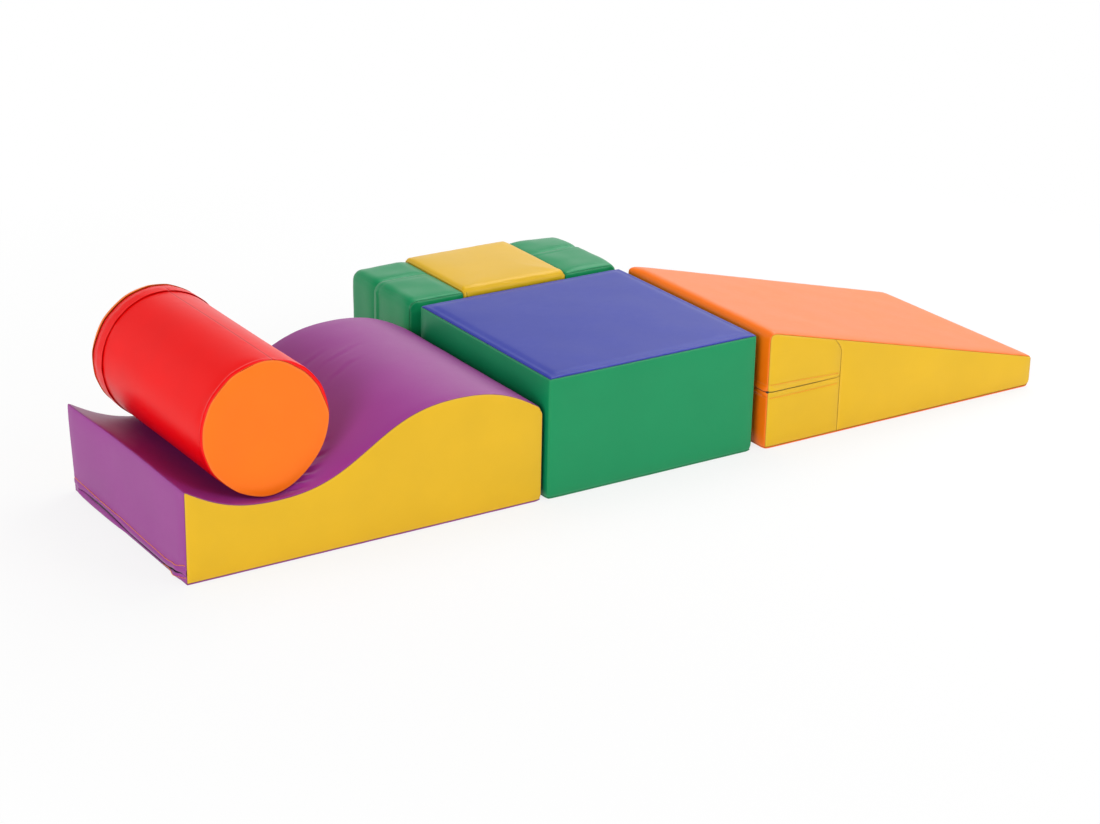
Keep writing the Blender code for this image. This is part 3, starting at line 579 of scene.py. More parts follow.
class Panel:
    """One panel of a cover: where each place of its cut cloth lies on the block.

    Its lay gives a point, the normal there and the gaps to the panel's edges, and where edges are
    folds without a seam, also the gap to the seam that is sewn.
    """

    def __init__(self, block, lay, crown=CROWN, relief=None, swell=SWELL):
        self.block = block
        self.lay = lay
        self.crown = crown
        self.relief = relief
        self.swell = swell

    def at(self, u, v):
        """The finished point, the panel's normal there, and the gap to the nearest seam."""
        point, normal, gaps, *sewn = self.lay(u, v)
        gaps = [max(0.0, gap) for gap in gaps]
        normal = self.block.blended(point, normal)
        nearest = min(gaps[-2:] + sewn) if sewn else min(gaps)
        filled = self.crown
        calm = 1.0
        for gap in gaps:
            filled *= risen(gap / CROWN_REACH)
            calm *= smooth(gap / SWELL_REACH)
        rise = filled + self.swell * calm * (0.5 + waver(point, SWELL_SIZE))
        ripple = nearest / PUCKER_GAP * math.exp(1 - nearest / PUCKER_GAP)
        rise += PUCKER * ripple * waver(point, PUCKER_SIZE, 5.0)
        if self.relief:
            rise += self.relief(u, v, point, gaps)
        return point + self.block.rolled(point) + normal * rise, normal, nearest


def put(name, data):
    """Add an object of this data to the scene."""
    made = bpy.data.objects.new(name, data)
    bpy.context.scene.collection.objects.link(made)
    return made


def new_mesh(name, mesh):
    data = bpy.data.meshes.new(name)
    mesh.to_mesh(data)
    mesh.free()
    return data


def add_piece(name, mesh, body, material, nodes=(), thickness=0.0):
    data = new_mesh(name, mesh)
    data.shade_smooth()
    piece = put(name, data)
    data.materials.append(material)
    if thickness:
        shell = piece.modifiers.new("vinyl", "SOLIDIFY")
        shell.thickness = thickness
        shell.offset = -1
    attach(piece, body)
    if nodes:
        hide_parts(*nodes)
    return piece


def sew(node, panel, colour, columns, rows, closed=False):
    """Cut the panel that stands for a solid as a grid of places, and lay it on its block."""
    mesh = bmesh.new()
    bmesh.ops.create_grid(mesh, x_segments=len(columns) - 1, y_segments=len(rows) - 1, size=1)
    seam = mesh.verts.layers.float.new("from_seam")
    outwards = []
    for index, vert in enumerate(mesh.verts):
        row, column = divmod(index, len(columns))
        vert.co, normal, vert[seam] = panel.at(columns[column], rows[row])
        outwards.append(normal)
    mesh.normal_update()
    mesh.verts.ensure_lookup_table()
    middle = (len(rows) // 2) * len(columns) + len(columns) // 2
    if mesh.verts[middle].normal.dot(outwards[middle]) < 0:
        bmesh.ops.reverse_faces(mesh, faces=mesh.faces)
    if closed:
        bmesh.ops.remove_doubles(mesh, verts=mesh.verts, dist=TWIN_GAP / 5)
    slot = f"{colour}_vinyl"
    piece = add_piece(
        f"{node}_sewn", mesh, panel.block.body, VINYLS[slot], [node], SKIN
    )


def stitch(name, panel, places, way):
    """Orange stitches, each a small rounded bead seated on a panel."""
    mesh = bmesh.new()
    size = (STITCH_LENGTH / 2, STITCH_RADIUS, STITCH_RADIUS)
    for u, v in places:
        point, outwards, _ = panel.at(u, v)
        along = (way - outwards * way.dot(outwards)).normalized()
        turn = Matrix((along, outwards.cross(along), outwards)).transposed().to_4x4()
        turn.translation = point + outwards * STITCH_RADIUS * 0.5
        made = bmesh.ops.create_icosphere(mesh, subdivisions=1, radius=1)["verts"]
        bmesh.ops.scale(mesh, vec=size, verts=made)
        bmesh.ops.transform(mesh, matrix=turn, verts=made)
    add_piece(name, mesh, panel.block.body, THREAD)


def stitch_places(start, end):
    """The middles of a row of stitches between two corners."""
    start, end = start + STITCH_MARGIN, end - STITCH_MARGIN
    count = int((end - start) / STITCH_PITCH)
    return [start + STITCH_PITCH * (index + 0.5) for index in range(count)]


def flap_rise(distance, end_gap=1.0, width=FLAP_WIDTH, shoulder=FLAP_SHOULDER, rise=FLAP_RISE):
    """How far a zip's flap stands off its panel, by the distance from its slit."""
    foot = smooth((width - distance) / (width - shoulder))
    lip = max(0.0, 1 - distance / FLAP_LIP)
    edge = math.sqrt(max(0.0, 1 - lip ** 2)) * 0.55 + 0.45
    groove = STITCH_GROOVE * bell(distance - width, GROOVE_WIDTH)
    return (rise * foot * edge - groove) * smooth(end_gap / FLAP_TAPER)


def welt(u, v, point, gaps):
    """The ridge where a seam's allowance lies under the cover, and the dip beside it."""
    gap = min(gaps)
    dip = smooth(1 - abs(gap - 0.014) / 0.009)
    return 0.0007 * bell(gap - 0.0065, 0.0025) - 0.0008 * dip


def seam_dip(u, v, point, gaps):
    """The dip of a seam between two panels of one face."""
    return -0.0009 * bell(min(gaps), 0.0016)


def flat_lay(origin, u_way, v_way, normal, u_ends, v_ends):
    """How a flat panel lies, by its places along two ways from an origin."""
    def lay(u, v):
        gaps = (u - u_ends[0], u_ends[1] - u, v - v_ends[0], v_ends[1] - v)
        return origin + u_way * u + v_way * v, normal, gaps
    return lay


def on_wall(flat, plane, facing):
    """How a panel lies on the wall at a plane: flat gives the x, the z and the gaps of a place."""
    def lay(u, v):
        x, z, *gaps = flat(u, v)
        return Vector((x, plane, z)), facing, gaps
    return lay


def lay_along(line, start, end, upright=False):
    """How a panel lies that follows a line, from start to end across it.

    The line is drawn on the floor for an upright panel, and else on the front.
    """
    def lay(u, v):
        point, normal, before, after = line.at(u)
        gaps = (before, after, v - start, end - v)
        if upright:
            place, facing = Vector((*point, v)), Vector((*normal, 0))
        else:
            place, facing = Vector((point.x, v, point.y)), Vector((normal.x, 0, normal.y))
        return place, facing, gaps, min(u, line.length - u)
    return lay


def front_and_back(front, back):
    """Both ends of a block: name, place and the way that they face."""
    return ("front", front, FRONTWARDS), ("back", back, BACKWARDS)


def base_tray(block, low, high, colour):
    """The bottom of a cover, turned up at its edges to the seam with the sides."""
    def lay(u, v):
        x, y = min(high.x, max(low.x, u)), min(high.y, max(low.y, v))
        over = max(abs(u - x), abs(v - y))
        gap = BASE_LIFT + min(u - low.x, high.x - u, v - low.y, high.y - v)
        normal = Vector((u - x, v - y, 0)).normalized() if over else DOWNWARDS
        return Vector((x, y, over)), normal, (gap, gap)

    def places(start, end):
        turned = (BASE_LIFT / 3, BASE_LIFT * 2 / 3, BASE_LIFT)
        edges = [start - step for step in turned] + [end + step for step in turned]
        return without_twins(spread(start, end, 0.02) + edges)

    tray = Panel(block, lay, crown=0.0, swell=0.0)
    sew(f"{block.body}_base", tray, colour, places(low.x, high.x), places(low.y, high.y))


def build_cube():
    low = Vector((CUBE_LOW.x, CUBE_LOW.y, 0.0))
    high = Vector((CUBE_TOP.x, CUBE_TOP.y, CUBE_HEIGHT))
    edges = box_edges((SEAM_ROUND,) * 4)
    block = Block("cube", box_faces(low, high), edges, base_tucks(low, high))
    width, depth = high.x - low.x, high.y - low.y
    corner = Vector((low.x, low.y, high.z))
    lay_top = flat_lay(corner, RIGHTWARDS, BACKWARDS, UPWARDS, (0.0, width), (0.0, depth))
    top = Panel(block, lay_top, crown=CUBE_CROWN, relief=welt)
    sew("cube_top", top, "blue", within(0.0, width), within(0.0, depth))
    walls = Outline(*legs((low.x, high.y), (low.x, low.y), (high.x, low.y), (high.x, high.y)))
    band = Panel(block, lay_along(walls, BASE_LIFT, high.z, upright=True))
    sew("cube_band", band, "green", walls.places(), within(BASE_LIFT, high.z))

    def slit_relief(u, v, point, gaps):
        return flap_rise(abs(v - LOW_SLIT), min(u, width - u))

    columns = within(0.0, width, marks=(FLAP_TAPER, width - FLAP_TAPER))
    corner = Vector((high.x, high.y, 0))
    for part, bottom, roof, low_gap, high_gap in (
        ("upper", LOW_SLIT, high.z, SLIT_HALF, SEAM_GAP),
        ("lower", BASE_LIFT, LOW_SLIT, SEAM_GAP, SLIT_HALF),
    ):
        lay = flat_lay(corner, LEFTWARDS, UPWARDS, BACKWARDS, (0.0, width), (bottom, roof))
        rows = spread(bottom + low_gap, roof - high_gap, marks=around(LOW_SLIT))
        sew(f"cube_back_{part}", Panel(block, lay, relief=slit_relief), "green", columns, rows)
    base_tray(block, low, high, "green")


def wave_turn(x):
    return math.tau * (x - WAVE_LOW.x - WAVE_VALLEY_AT) / WAVE_PERIOD


def wave_height(x):
    turn = wave_turn(x)
    return WAVE_MIDDLE - WAVE_SWING * math.cos(turn) + WAVE_FLATTENING * math.cos(3 * turn)


def wave_slope(x):
    turn = wave_turn(x)
    steep = WAVE_SWING * math.sin(turn) - 3 * WAVE_FLATTENING * math.sin(3 * turn)
    return steep * math.tau / WAVE_PERIOD


def wave_normal(point):
    return Vector((-wave_slope(point.x), 0, 1)).normalized()


def wave_gap(point):
    return (wave_height(point.x) - point.z) / math.hypot(1, wave_slope(point.x))


# The slit of the wave's zip sags, and so do the stitches over and under it: places across the low
# end, from the front, and the height there
SLIT_MARKS = (
    (0.0, 0.0175), (0.020, 0.0180), (0.035, 0.0168), (0.083, 0.0090), (0.210, 0.0098),
    (0.368, 0.0178), (0.500, 0.0160),
)
STITCH_MARKS = (
    (0.0, 0.0380), (0.045, 0.0265), (0.084, 0.0220), (0.148, 0.0232), (0.285, 0.0272),
    (0.500, 0.0300),
)
LOW_STITCH_MARKS = ((0.0, 0.0145), (0.020, 0.0098), (0.045, 0.0070), (0.110, 0.0050))


def between_marks(marks, place):
    """A smooth line through marks of (place, value)."""
    for (start, low), (end, high) in zip(marks, marks[1:]):
        if place <= end:
            return low + (high - low) * smooth((place - start) / (end - start))
    return marks[-1][1]


def wave_slit(y):
    return between_marks(SLIT_MARKS, y - WAVE_LOW.y)


def low_end_gap(y):
    """How far the slit of the wave's zip stands open."""
    from_front = smooth((y - WAVE_LOW.y - 0.012) / 0.030)
    from_back = smooth((WAVE_TOP.y - y - 0.040) / 0.060)
    return 0.0003 + LOW_END_GAP * from_front * from_back


def over_slider(y):
    """One at both ends of the wave's zip, where its slider pushes the flaps out."""
    return max(bell(y - stop, SLIDER_REACH) for stop in (SLIDER_AT, SLIDER_AT - SLIDER_TRAVEL))


def from_wave_ends(y):
    return max(0.0, min(y - WAVE_LOW.y, WAVE_TOP.y - y))


# Creases where the wave's wrap is pushed together beside the roll: place along and across the
# wave, how they lean, how long and how deep they are
VALLEY_CREASES = (
    (0.232, 0.026, -0.55, 0.034, 0.0026), (0.250, 0.046, -0.50, 0.040, 0.0032),
    (0.272, 0.068, -0.62, 0.044, 0.0034), (0.294, 0.095, -0.48, 0.048, 0.0032),
    (0.312, 0.128, -0.55, 0.052, 0.0024), (0.322, 0.165, -0.40, 0.055, 0.0014),
    (0.325, 0.200, -0.30, 0.060, 0.0009), (0.330, 0.262, -0.25, 0.060, 0.0009),
    (0.322, 0.330, -0.30, 0.060, 0.0010), (0.310, 0.400, -0.20, 0.055, 0.0010),
    (0.470, 0.270, 0.35, 0.070, 0.0006), (0.500, 0.330, 0.30, 0.080, 0.0006),
    (0.445, 0.360, 0.28, 0.060, 0.0006),
)


def wave_creases(point):
    """The height of the creases at a place: each is a valley with a fold beside it."""
    height = 0.0
    for at, across, lean, length, size in VALLEY_CREASES:
        x, y = point.x - WAVE_LOW.x - at, point.y - WAVE_LOW.y - across
        along = (x + lean * y) / math.hypot(1, lean)
        aside = (y - lean * x) / math.hypot(1, lean) + 0.006 * waver(point, 0.03, at * 40)
        if abs(along) < length and abs(aside) < 0.03:
            folded = 0.8 * bell(aside - 0.0105, 0.0055) - bell(aside, 0.0048)
            height += size * smooth(1 - abs(along) / length) * folded
    return height


def under_roll(point):
    """How far the wave's cover gives way under the roll's near end."""
    along = smooth((point.y - ROLL_LOW.y + 0.030) / 0.022)
    along *= smooth((0.12 + ROLL_LOW.y - point.y) / 0.12)
    return UNDER_ROLL * bell(point.x - (ROLL_LOW.x + ROLL_TOP.x) / 2, 0.045) * along


def build_wave():
    low = Vector((WAVE_LOW.x, WAVE_LOW.y, 0.0))
    high = Vector((WAVE_TOP.x, WAVE_TOP.y, 0.0))
    faces = {**box_faces(low, high), "top": (wave_gap, wave_normal)}
    horn = Vector((low.x, high.y, wave_height(low.x)))
    dip = Vector((low.x, low.y + 0.2, wave_height(low.x)))
    tucks = base_tucks(low, high)[2:]
    tucks += [(horn, Vector((-0.0075, 0.0, 0.002)), 0.20), (dip, Vector((0.0012, 0, 0)), 0.15)]
    block = Block("wave", faces, box_edges(WAVE_TOP_ROUNDS), tucks)
    top = []
    for index in range(WAVE_SEGMENTS + 1):
        x = high.x + (low.x - high.x) * index / WAVE_SEGMENTS
        top.append((x, wave_height(x)))
    lip = top[-1][1]
    line = Outline([(high.x, BASE_LIFT), top[0]], top, [(low.x, lip), (low.x, LOW_SLIT)])
    drop = lip - LOW_SLIT
    foot = line.length - drop
    lay_level = lay_along(line, low.y, high.y)

    def lay_wrap(u, v):
        point, normal, gaps, sewn = lay_level(u, v)
        if u > foot:
            slit = wave_slit(v)
            point.z = slit + gaps[1] * (lip - slit) / drop
        return point, normal, gaps, sewn

    def wrap_relief(u, v, point, gaps):
        if u <= foot:
            return wave_creases(point) - under_roll(point)
        sag = 0.35 + 0.65 * smooth(from_wave_ends(v) / 0.045)
        over = gaps[1] + SLIT_HALF
        puff = 0.0016 * smooth(1 - abs(over - 0.011) / 0.011) * sag
        pushed = WRAP_PUSH * over_slider(v) * smooth(1 - over / FLAP_WIDTH)
        return flap_rise(over, rise=LOW_END_RISE * sag) + puff + pushed

    rows = within(low.y, high.y)
    wrap = Panel(block, lay_wrap, crown=WAVE_CROWN, relief=wrap_relief)
    sew("wave_wrap", wrap, "purple", line.places_to_slit(), rows)

    def strip_top(y):
        return wave_slit(y) - low_end_gap(y)

    def lay_strip(u, v):
        top = strip_top(v)
        z = BASE_LIFT + (top - BASE_LIFT) * u
        return Vector((low.x, v, z)), LEFTWARDS, (z - BASE_LIFT, top - z, v - low.y, high.y - v)

    def strip_relief(u, v, point, gaps):
        height = wave_slit(v) - BASE_LIFT
        full = 0.001 + LOW_END_BULGE * smooth((height - 0.004) / 0.012)
        full *= (0.85 + 0.5 * waver(point, 0.07, 6.0)) * smooth(from_wave_ends(v) / 0.05)
        pushed = STRIP_PUSH * over_slider(v) * smooth(u / 0.7)
        return full * math.sin(math.pi * min(1.0, 0.25 + 0.75 * u)) ** 0.8 + pushed

    strip = Panel(block, lay_strip, crown=0.0, relief=strip_relief, swell=0.0)
    heights = [0.0, 0.1, 0.22, 0.34, 0.46, 0.58, 0.7, 0.8, 0.88, 0.95, 1.0]
    sew("wave_low_end_strip", strip, "purple", heights, rows)

    def flat_side(u, v):
        roof, bottom = wave_height(u) - SEAM_GAP, BASE_LIFT + SEAM_GAP
        z = bottom + (roof - bottom) * v
        return u, z, u - low.x, high.x - u, z - bottom, (roof - z) / math.hypot(1, wave_slope(u))

    for side, plane, facing in front_and_back(low.y, high.y):
        face = Panel(block, on_wall(flat_side, plane, facing))
        sew(f"wave_side_{side}", face, "yellow", within(low.x, high.x), shares_of(0.22))
    base_tray(block, low, high, "purple")
    seats = []
    for y in stitch_places(low.y, high.y):
        slit = wave_slit(y)
        over = between_marks(STITCH_MARKS, y - low.y) - slit
        seats.append((line.length - over * drop / (lip - slit), y))
    stitch("wave_flap_thread", wrap, seats, BACKWARDS)
    seats = []
    for y in stitch_places(low.y, low.y + 0.100 + STITCH_MARGIN):
        height = between_marks(LOW_STITCH_MARKS, y - low.y) - BASE_LIFT
        seats.append((height / (strip_top(y) - BASE_LIFT), y))
    stitch("wave_strip_thread", strip, seats, BACKWARDS)


def facet_depth(angle, seed, count=15):
    """How far a flattened side of a round end lies within it, as a share of its radius."""
    turn = angle % math.tau
    middle = math.floor(turn / math.tau * count)
    corners = []
    for index in range(middle - 1, middle + 3):
        shift = 0.22 * math.sin(5 * (index % count) + seed)
        corners.append(math.tau * (index + shift) / count)
    for start, end in zip(corners, corners[1:]):
        if start <= turn <= end:
            across = 2 * (turn - start) / (end - start) - 1
            return 0.30 * (1 - across ** 2) ** 1.5 * ((end - start) / 2) ** 2 / 2
    return 0.0


def build_roll():
    axis_x, axis_z = (ROLL_LOW.x + ROLL_TOP.x) / 2, (ROLL_LOW.z + ROLL_TOP.z) / 2
    radius = (ROLL_TOP.z - ROLL_LOW.z) / 2 + INSET
    front, back = ROLL_LOW.y - INSET, ROLL_TOP.y + INSET

    def from_axis(point):
        return Vector((point.x - axis_x, 0, point.z - axis_z))

    faces = box_faces(Vector((0, front, 0)), Vector((0, back, 0)))
    faces["round"] = round_wall(from_axis, radius)
    underside = Vector((axis_x, front, axis_z - radius))
    block = Block(
        "roll", faces, [("round", "front", 0.003), ("round", "back", 0.004)],
        [(underside, Vector((0, -0.007, -0.0045)), 0.11)],
    )
    seam = math.radians(83)
    turns = [math.tau * index / ROUND_COLUMNS for index in range(ROUND_COLUMNS + 1)]
    close = [step / radius for step in SEAM_STEPS]
    angles = [seam + turn for turn in turns + close]
    angles = without_twins(angles + [seam + math.tau - turn for turn in close])

    def rim_width(u, side):
        """How far the round cover laps over an end disc; at the back the disc laps over it."""
        if side == "front":
            return 0.0075 * smooth((math.cos(u - math.radians(40)) - 0.72) / 0.28)
        return -0.0022 - 0.0060 * smooth((math.cos(u - math.radians(128)) - 0.5) / 0.5)

    def trim(u, depth, side):
        """How much less than round the roll is near its ends, where the seam pulls it flat."""
        near = smooth(1 - depth / 0.035)
        return facet_depth(u, 3.0 if side == "front" else 11.0) * near * radius

    def lay_round(end, sign, last, side):
        """A ring of cover; its rows start at the seam with an end disc."""
        def lay(u, v):
            radial = Vector((math.cos(u), 0, math.sin(u)))
            rim = rim_width(u, side)
            run = v - rim * (1 - smooth(v / 0.03))
            normal = radial if run >= 0 else Vector((0, -sign, 0))
            place = end + sign * max(0.0, run)
            reach = radius - max(0.0, -run) - trim(u, max(0.0, run), side)
            from_join = min(u - seam, seam + math.tau - u) * radius
            point = Vector((axis_x, place, axis_z)) + radial * reach
            return point, normal, (v, last - v, from_join)
        return lay

    def dented(u, v, point, gaps):
        """Slow dents along the roll, its lengthwise seam, and the bead beside the near disc."""
        slow = waver_round(u, 2.1, point.y * 4.0, 3.0)
        near_end = smooth(1 - gaps[0] / 0.02)
        groove = bell(gaps[2], 0.0022) - 0.8 * bell(gaps[2], 0.008)
        near = smooth(gaps[0] / 0.03) * smooth(gaps[1] / 0.03)
        beside = smooth((math.cos(u - math.radians(158)) - 0.2) / 0.5)
        bead = 0.0015 * bell(v - 0.0066, 0.0034) - 0.0010 * bell(v - 0.0013, 0.0012)
        join = 0.0003 * groove * (0.4 + 3.5 * near_end)
        return 0.0012 * slow * near - join + bead * beside

    length = back - ROLL_BAND - front
    lay = lay_round(front, 1, length, "front")
    wrap = Panel(block, lay, crown=0.0, relief=dented, swell=0.0)
    rows = spread(0.0, length, 0.008, marks=(0.0066, 0.0095, 0.0125, 0.0142, 0.0185, 0.021))
    sew("roll_wrap", wrap, "red", angles, rows, closed=True)
    lap = ROLL_BAND + ROLL_LAP

    def band_relief(u, v, point, gaps):
        edge = max(0.0, 1 - gaps[1] / 0.0022)
        raised = INSET + 0.0014 * smooth((v - 0.010) / 0.02)
        ripple = 0.0008 * waver_round(u, 7, offset=8.0)
        rise = (raised + ripple) * smooth(v / 0.012) * (1 - 0.35 * edge ** 2)
        return rise - 0.0014 * bell(gaps[2], 0.0016) * smooth(1 - gaps[1] / 0.022)

    lay = lay_round(back, -1, lap, "back")
    band = Panel(block, lay, crown=0.0, relief=band_relief, swell=0.0)
    sew("roll_end_band", band, "red", angles, spread(0.0, lap, 0.003), closed=True)
    for side, place, facing in front_and_back(front, back):
        def lay_disc(u, v, place=place, facing=facing, side=side):
            radial = Vector((math.cos(u), 0, math.sin(u)))
            total = radius - rim_width(u, side) - SEAM_GAP
            run = total * v
            over = max(0.0, run - radius)
            reach = min(run, radius) - trim(u, over, side) * v ** 6 + 0.0022 * smooth(over / 0.002)
            point = Vector((axis_x, place, axis_z)) + radial * reach - facing * over
            return point, facing if over == 0 else radial, (total - run, total - run)

        shares = [0.0] + [place / 0.126 for place in spread(0.004, 0.126, 0.007)]
        disc = Panel(block, lay_disc)
        sew(f"roll_disc_{side}", disc, "orange", turns, shares, closed=True)


def build_ramp():
    left, right = RAMP_LOW_BOX.x - INSET, RAMP_TOP_BOX.x + INSET
    front, back = RAMP_LOW_BOX.y - 2 * INSET, RAMP_TOP_BOX.y + 2 * INSET
    low, high = Vector((left, front, 0)), Vector((right, back, 0))
    fall = (RAMP_LOW - RAMP_TALL) / (right - left)
    slope = wall(Vector((left, 0, RAMP_TALL)), Vector((-fall, 0, 1)).normalized())
    edges = box_edges(RAMP_TOP_ROUNDS, RAMP_BASE_ROUNDS)
    horn = Vector((left, back, RAMP_TALL))
    tucks = base_tucks(low, high) + [(horn, Vector((-0.006, 0.001, 0)), 0.05)]
    block = Block("ramp", {**box_faces(low, high), "top": slope}, edges, tucks)
    seam = left + RAMP_SEAM_AT

    def roof(x):
        return RAMP_TALL + fall * (x - left)

    def bent(u, z, share):
        """A place on a side, where the seam between its panels bends over at its top."""
        near = smooth(1 - abs(u - seam) / 0.07)
        x = u - 0.021 * near * max(0.0, 1 - (roof(u) - z) / 0.028) ** 2
        return x, z + (roof(x) - roof(u)) * share

    def flap(over, corner_gap, end_gap=1.0):
        """The flaps over and under the slit, which sink towards the tall end's corners."""
        share = UPPER_FLAP if over > 0 else LOWER_FLAP
        rise = FLAP_RISE * share * smooth(corner_gap / FLAP_TAPER)
        return flap_rise(abs(over), end_gap, rise=rise)

    line = Outline(
        *legs((right, BASE_LIFT), (right, RAMP_LOW), (left, RAMP_TALL), (left, RAMP_SLIT))
    )

    def wrap_relief(u, v, point, gaps):
        return flap(line.length - u, min(v - front, back - v))

    def end_relief(u, v, point, gaps):
        return flap(v - RAMP_SLIT, min(u - front, back - u))

    def side_relief(u, v, point, gaps):
        return flap(point.z - RAMP_SLIT, *gaps[:2]) + seam_dip(u, v, point, gaps)

    rows = within(front, back)
    wrap = Panel(block, lay_along(line, front, back), relief=wrap_relief)
    sew("ramp_wrap", wrap, "orange", line.places_to_slit(), rows)
    heights = spread(BASE_LIFT + SEAM_GAP, RAMP_SLIT - SLIT_HALF, marks=around(RAMP_SLIT))
    lay_end = flat_lay(
        Vector((left, 0, 0)), BACKWARDS, UPWARDS, LEFTWARDS, (front, back), (BASE_LIFT, RAMP_SLIT)
    )
    tall_end = Panel(block, lay_end, relief=end_relief)
    sew("ramp_tall_end_lower", tall_end, "orange", rows, heights)

    def slit_shut(from_end, from_slit):
        """The slit closes towards the seam that ends it."""
        return 0.85 * SLIT_HALF * smooth(1 - from_end / 0.09) * smooth(1 - from_slit / 0.02)

    def flat_long(u, v):
        top, bottom = roof(u) - SEAM_GAP, BASE_LIFT + SEAM_GAP
        z = bottom + (top - bottom) * v
        return *bent(u, z, v), u - seam, right - u, z - bottom, top - z

    def flat_upper(u, v):
        top, share = roof(u) - SEAM_GAP, v / RAMP_UPPER
        z = RAMP_SLIT + share * (top - RAMP_SLIT) - slit_shut(seam - u, v)
        return *bent(u, z, share), u - left, seam - u, z - RAMP_SLIT, top - z

    def flat_lower(u, v):
        z = v + slit_shut(seam - u, RAMP_SLIT - v)
        return u, z, u - left, seam - u, v - BASE_LIFT, RAMP_SLIT - v

    short = within(left, seam)
    rises = spread(SLIT_HALF, RAMP_UPPER, marks=SLIT_STEPS)
    places = stitch_places(left, seam - 0.008 + STITCH_MARGIN)
    for side, plane, facing in front_and_back(front, back):
        face = Panel(block, on_wall(flat_long, plane, facing), relief=seam_dip)
        sew(f"ramp_side_{side}", face, "yellow", within(seam, right), shares_of(0.15))
        upper = Panel(block, on_wall(flat_upper, plane, facing), UPPER_CROWN, side_relief)
        sew(f"ramp_side_{side}_upper", upper, "yellow", short, rises)
        lower = Panel(block, on_wall(flat_lower, plane, facing), relief=side_relief)
        sew(f"ramp_side_{side}_lower", lower, "yellow", short, heights)
        for part, panel, height in (
            ("upper", upper, FLAP_WIDTH), ("lower", lower, RAMP_SLIT - FLAP_WIDTH),
        ):
            seats = [(place, height) for place in places]
            stitch(f"ramp_{side}_{part}_thread", panel, seats, RIGHTWARDS)
    places = stitch_places(front, back)
    seats = [(line.length - FLAP_WIDTH, place) for place in places]
    stitch("ramp_end_upper_thread", wrap, seats, BACKWARDS)
    seats = [(place, RAMP_SLIT - FLAP_WIDTH) for place in places]
    stitch("ramp_end_lower_thread", tall_end, seats, BACKWARDS)
    base_tray(block, low, high, "orange")


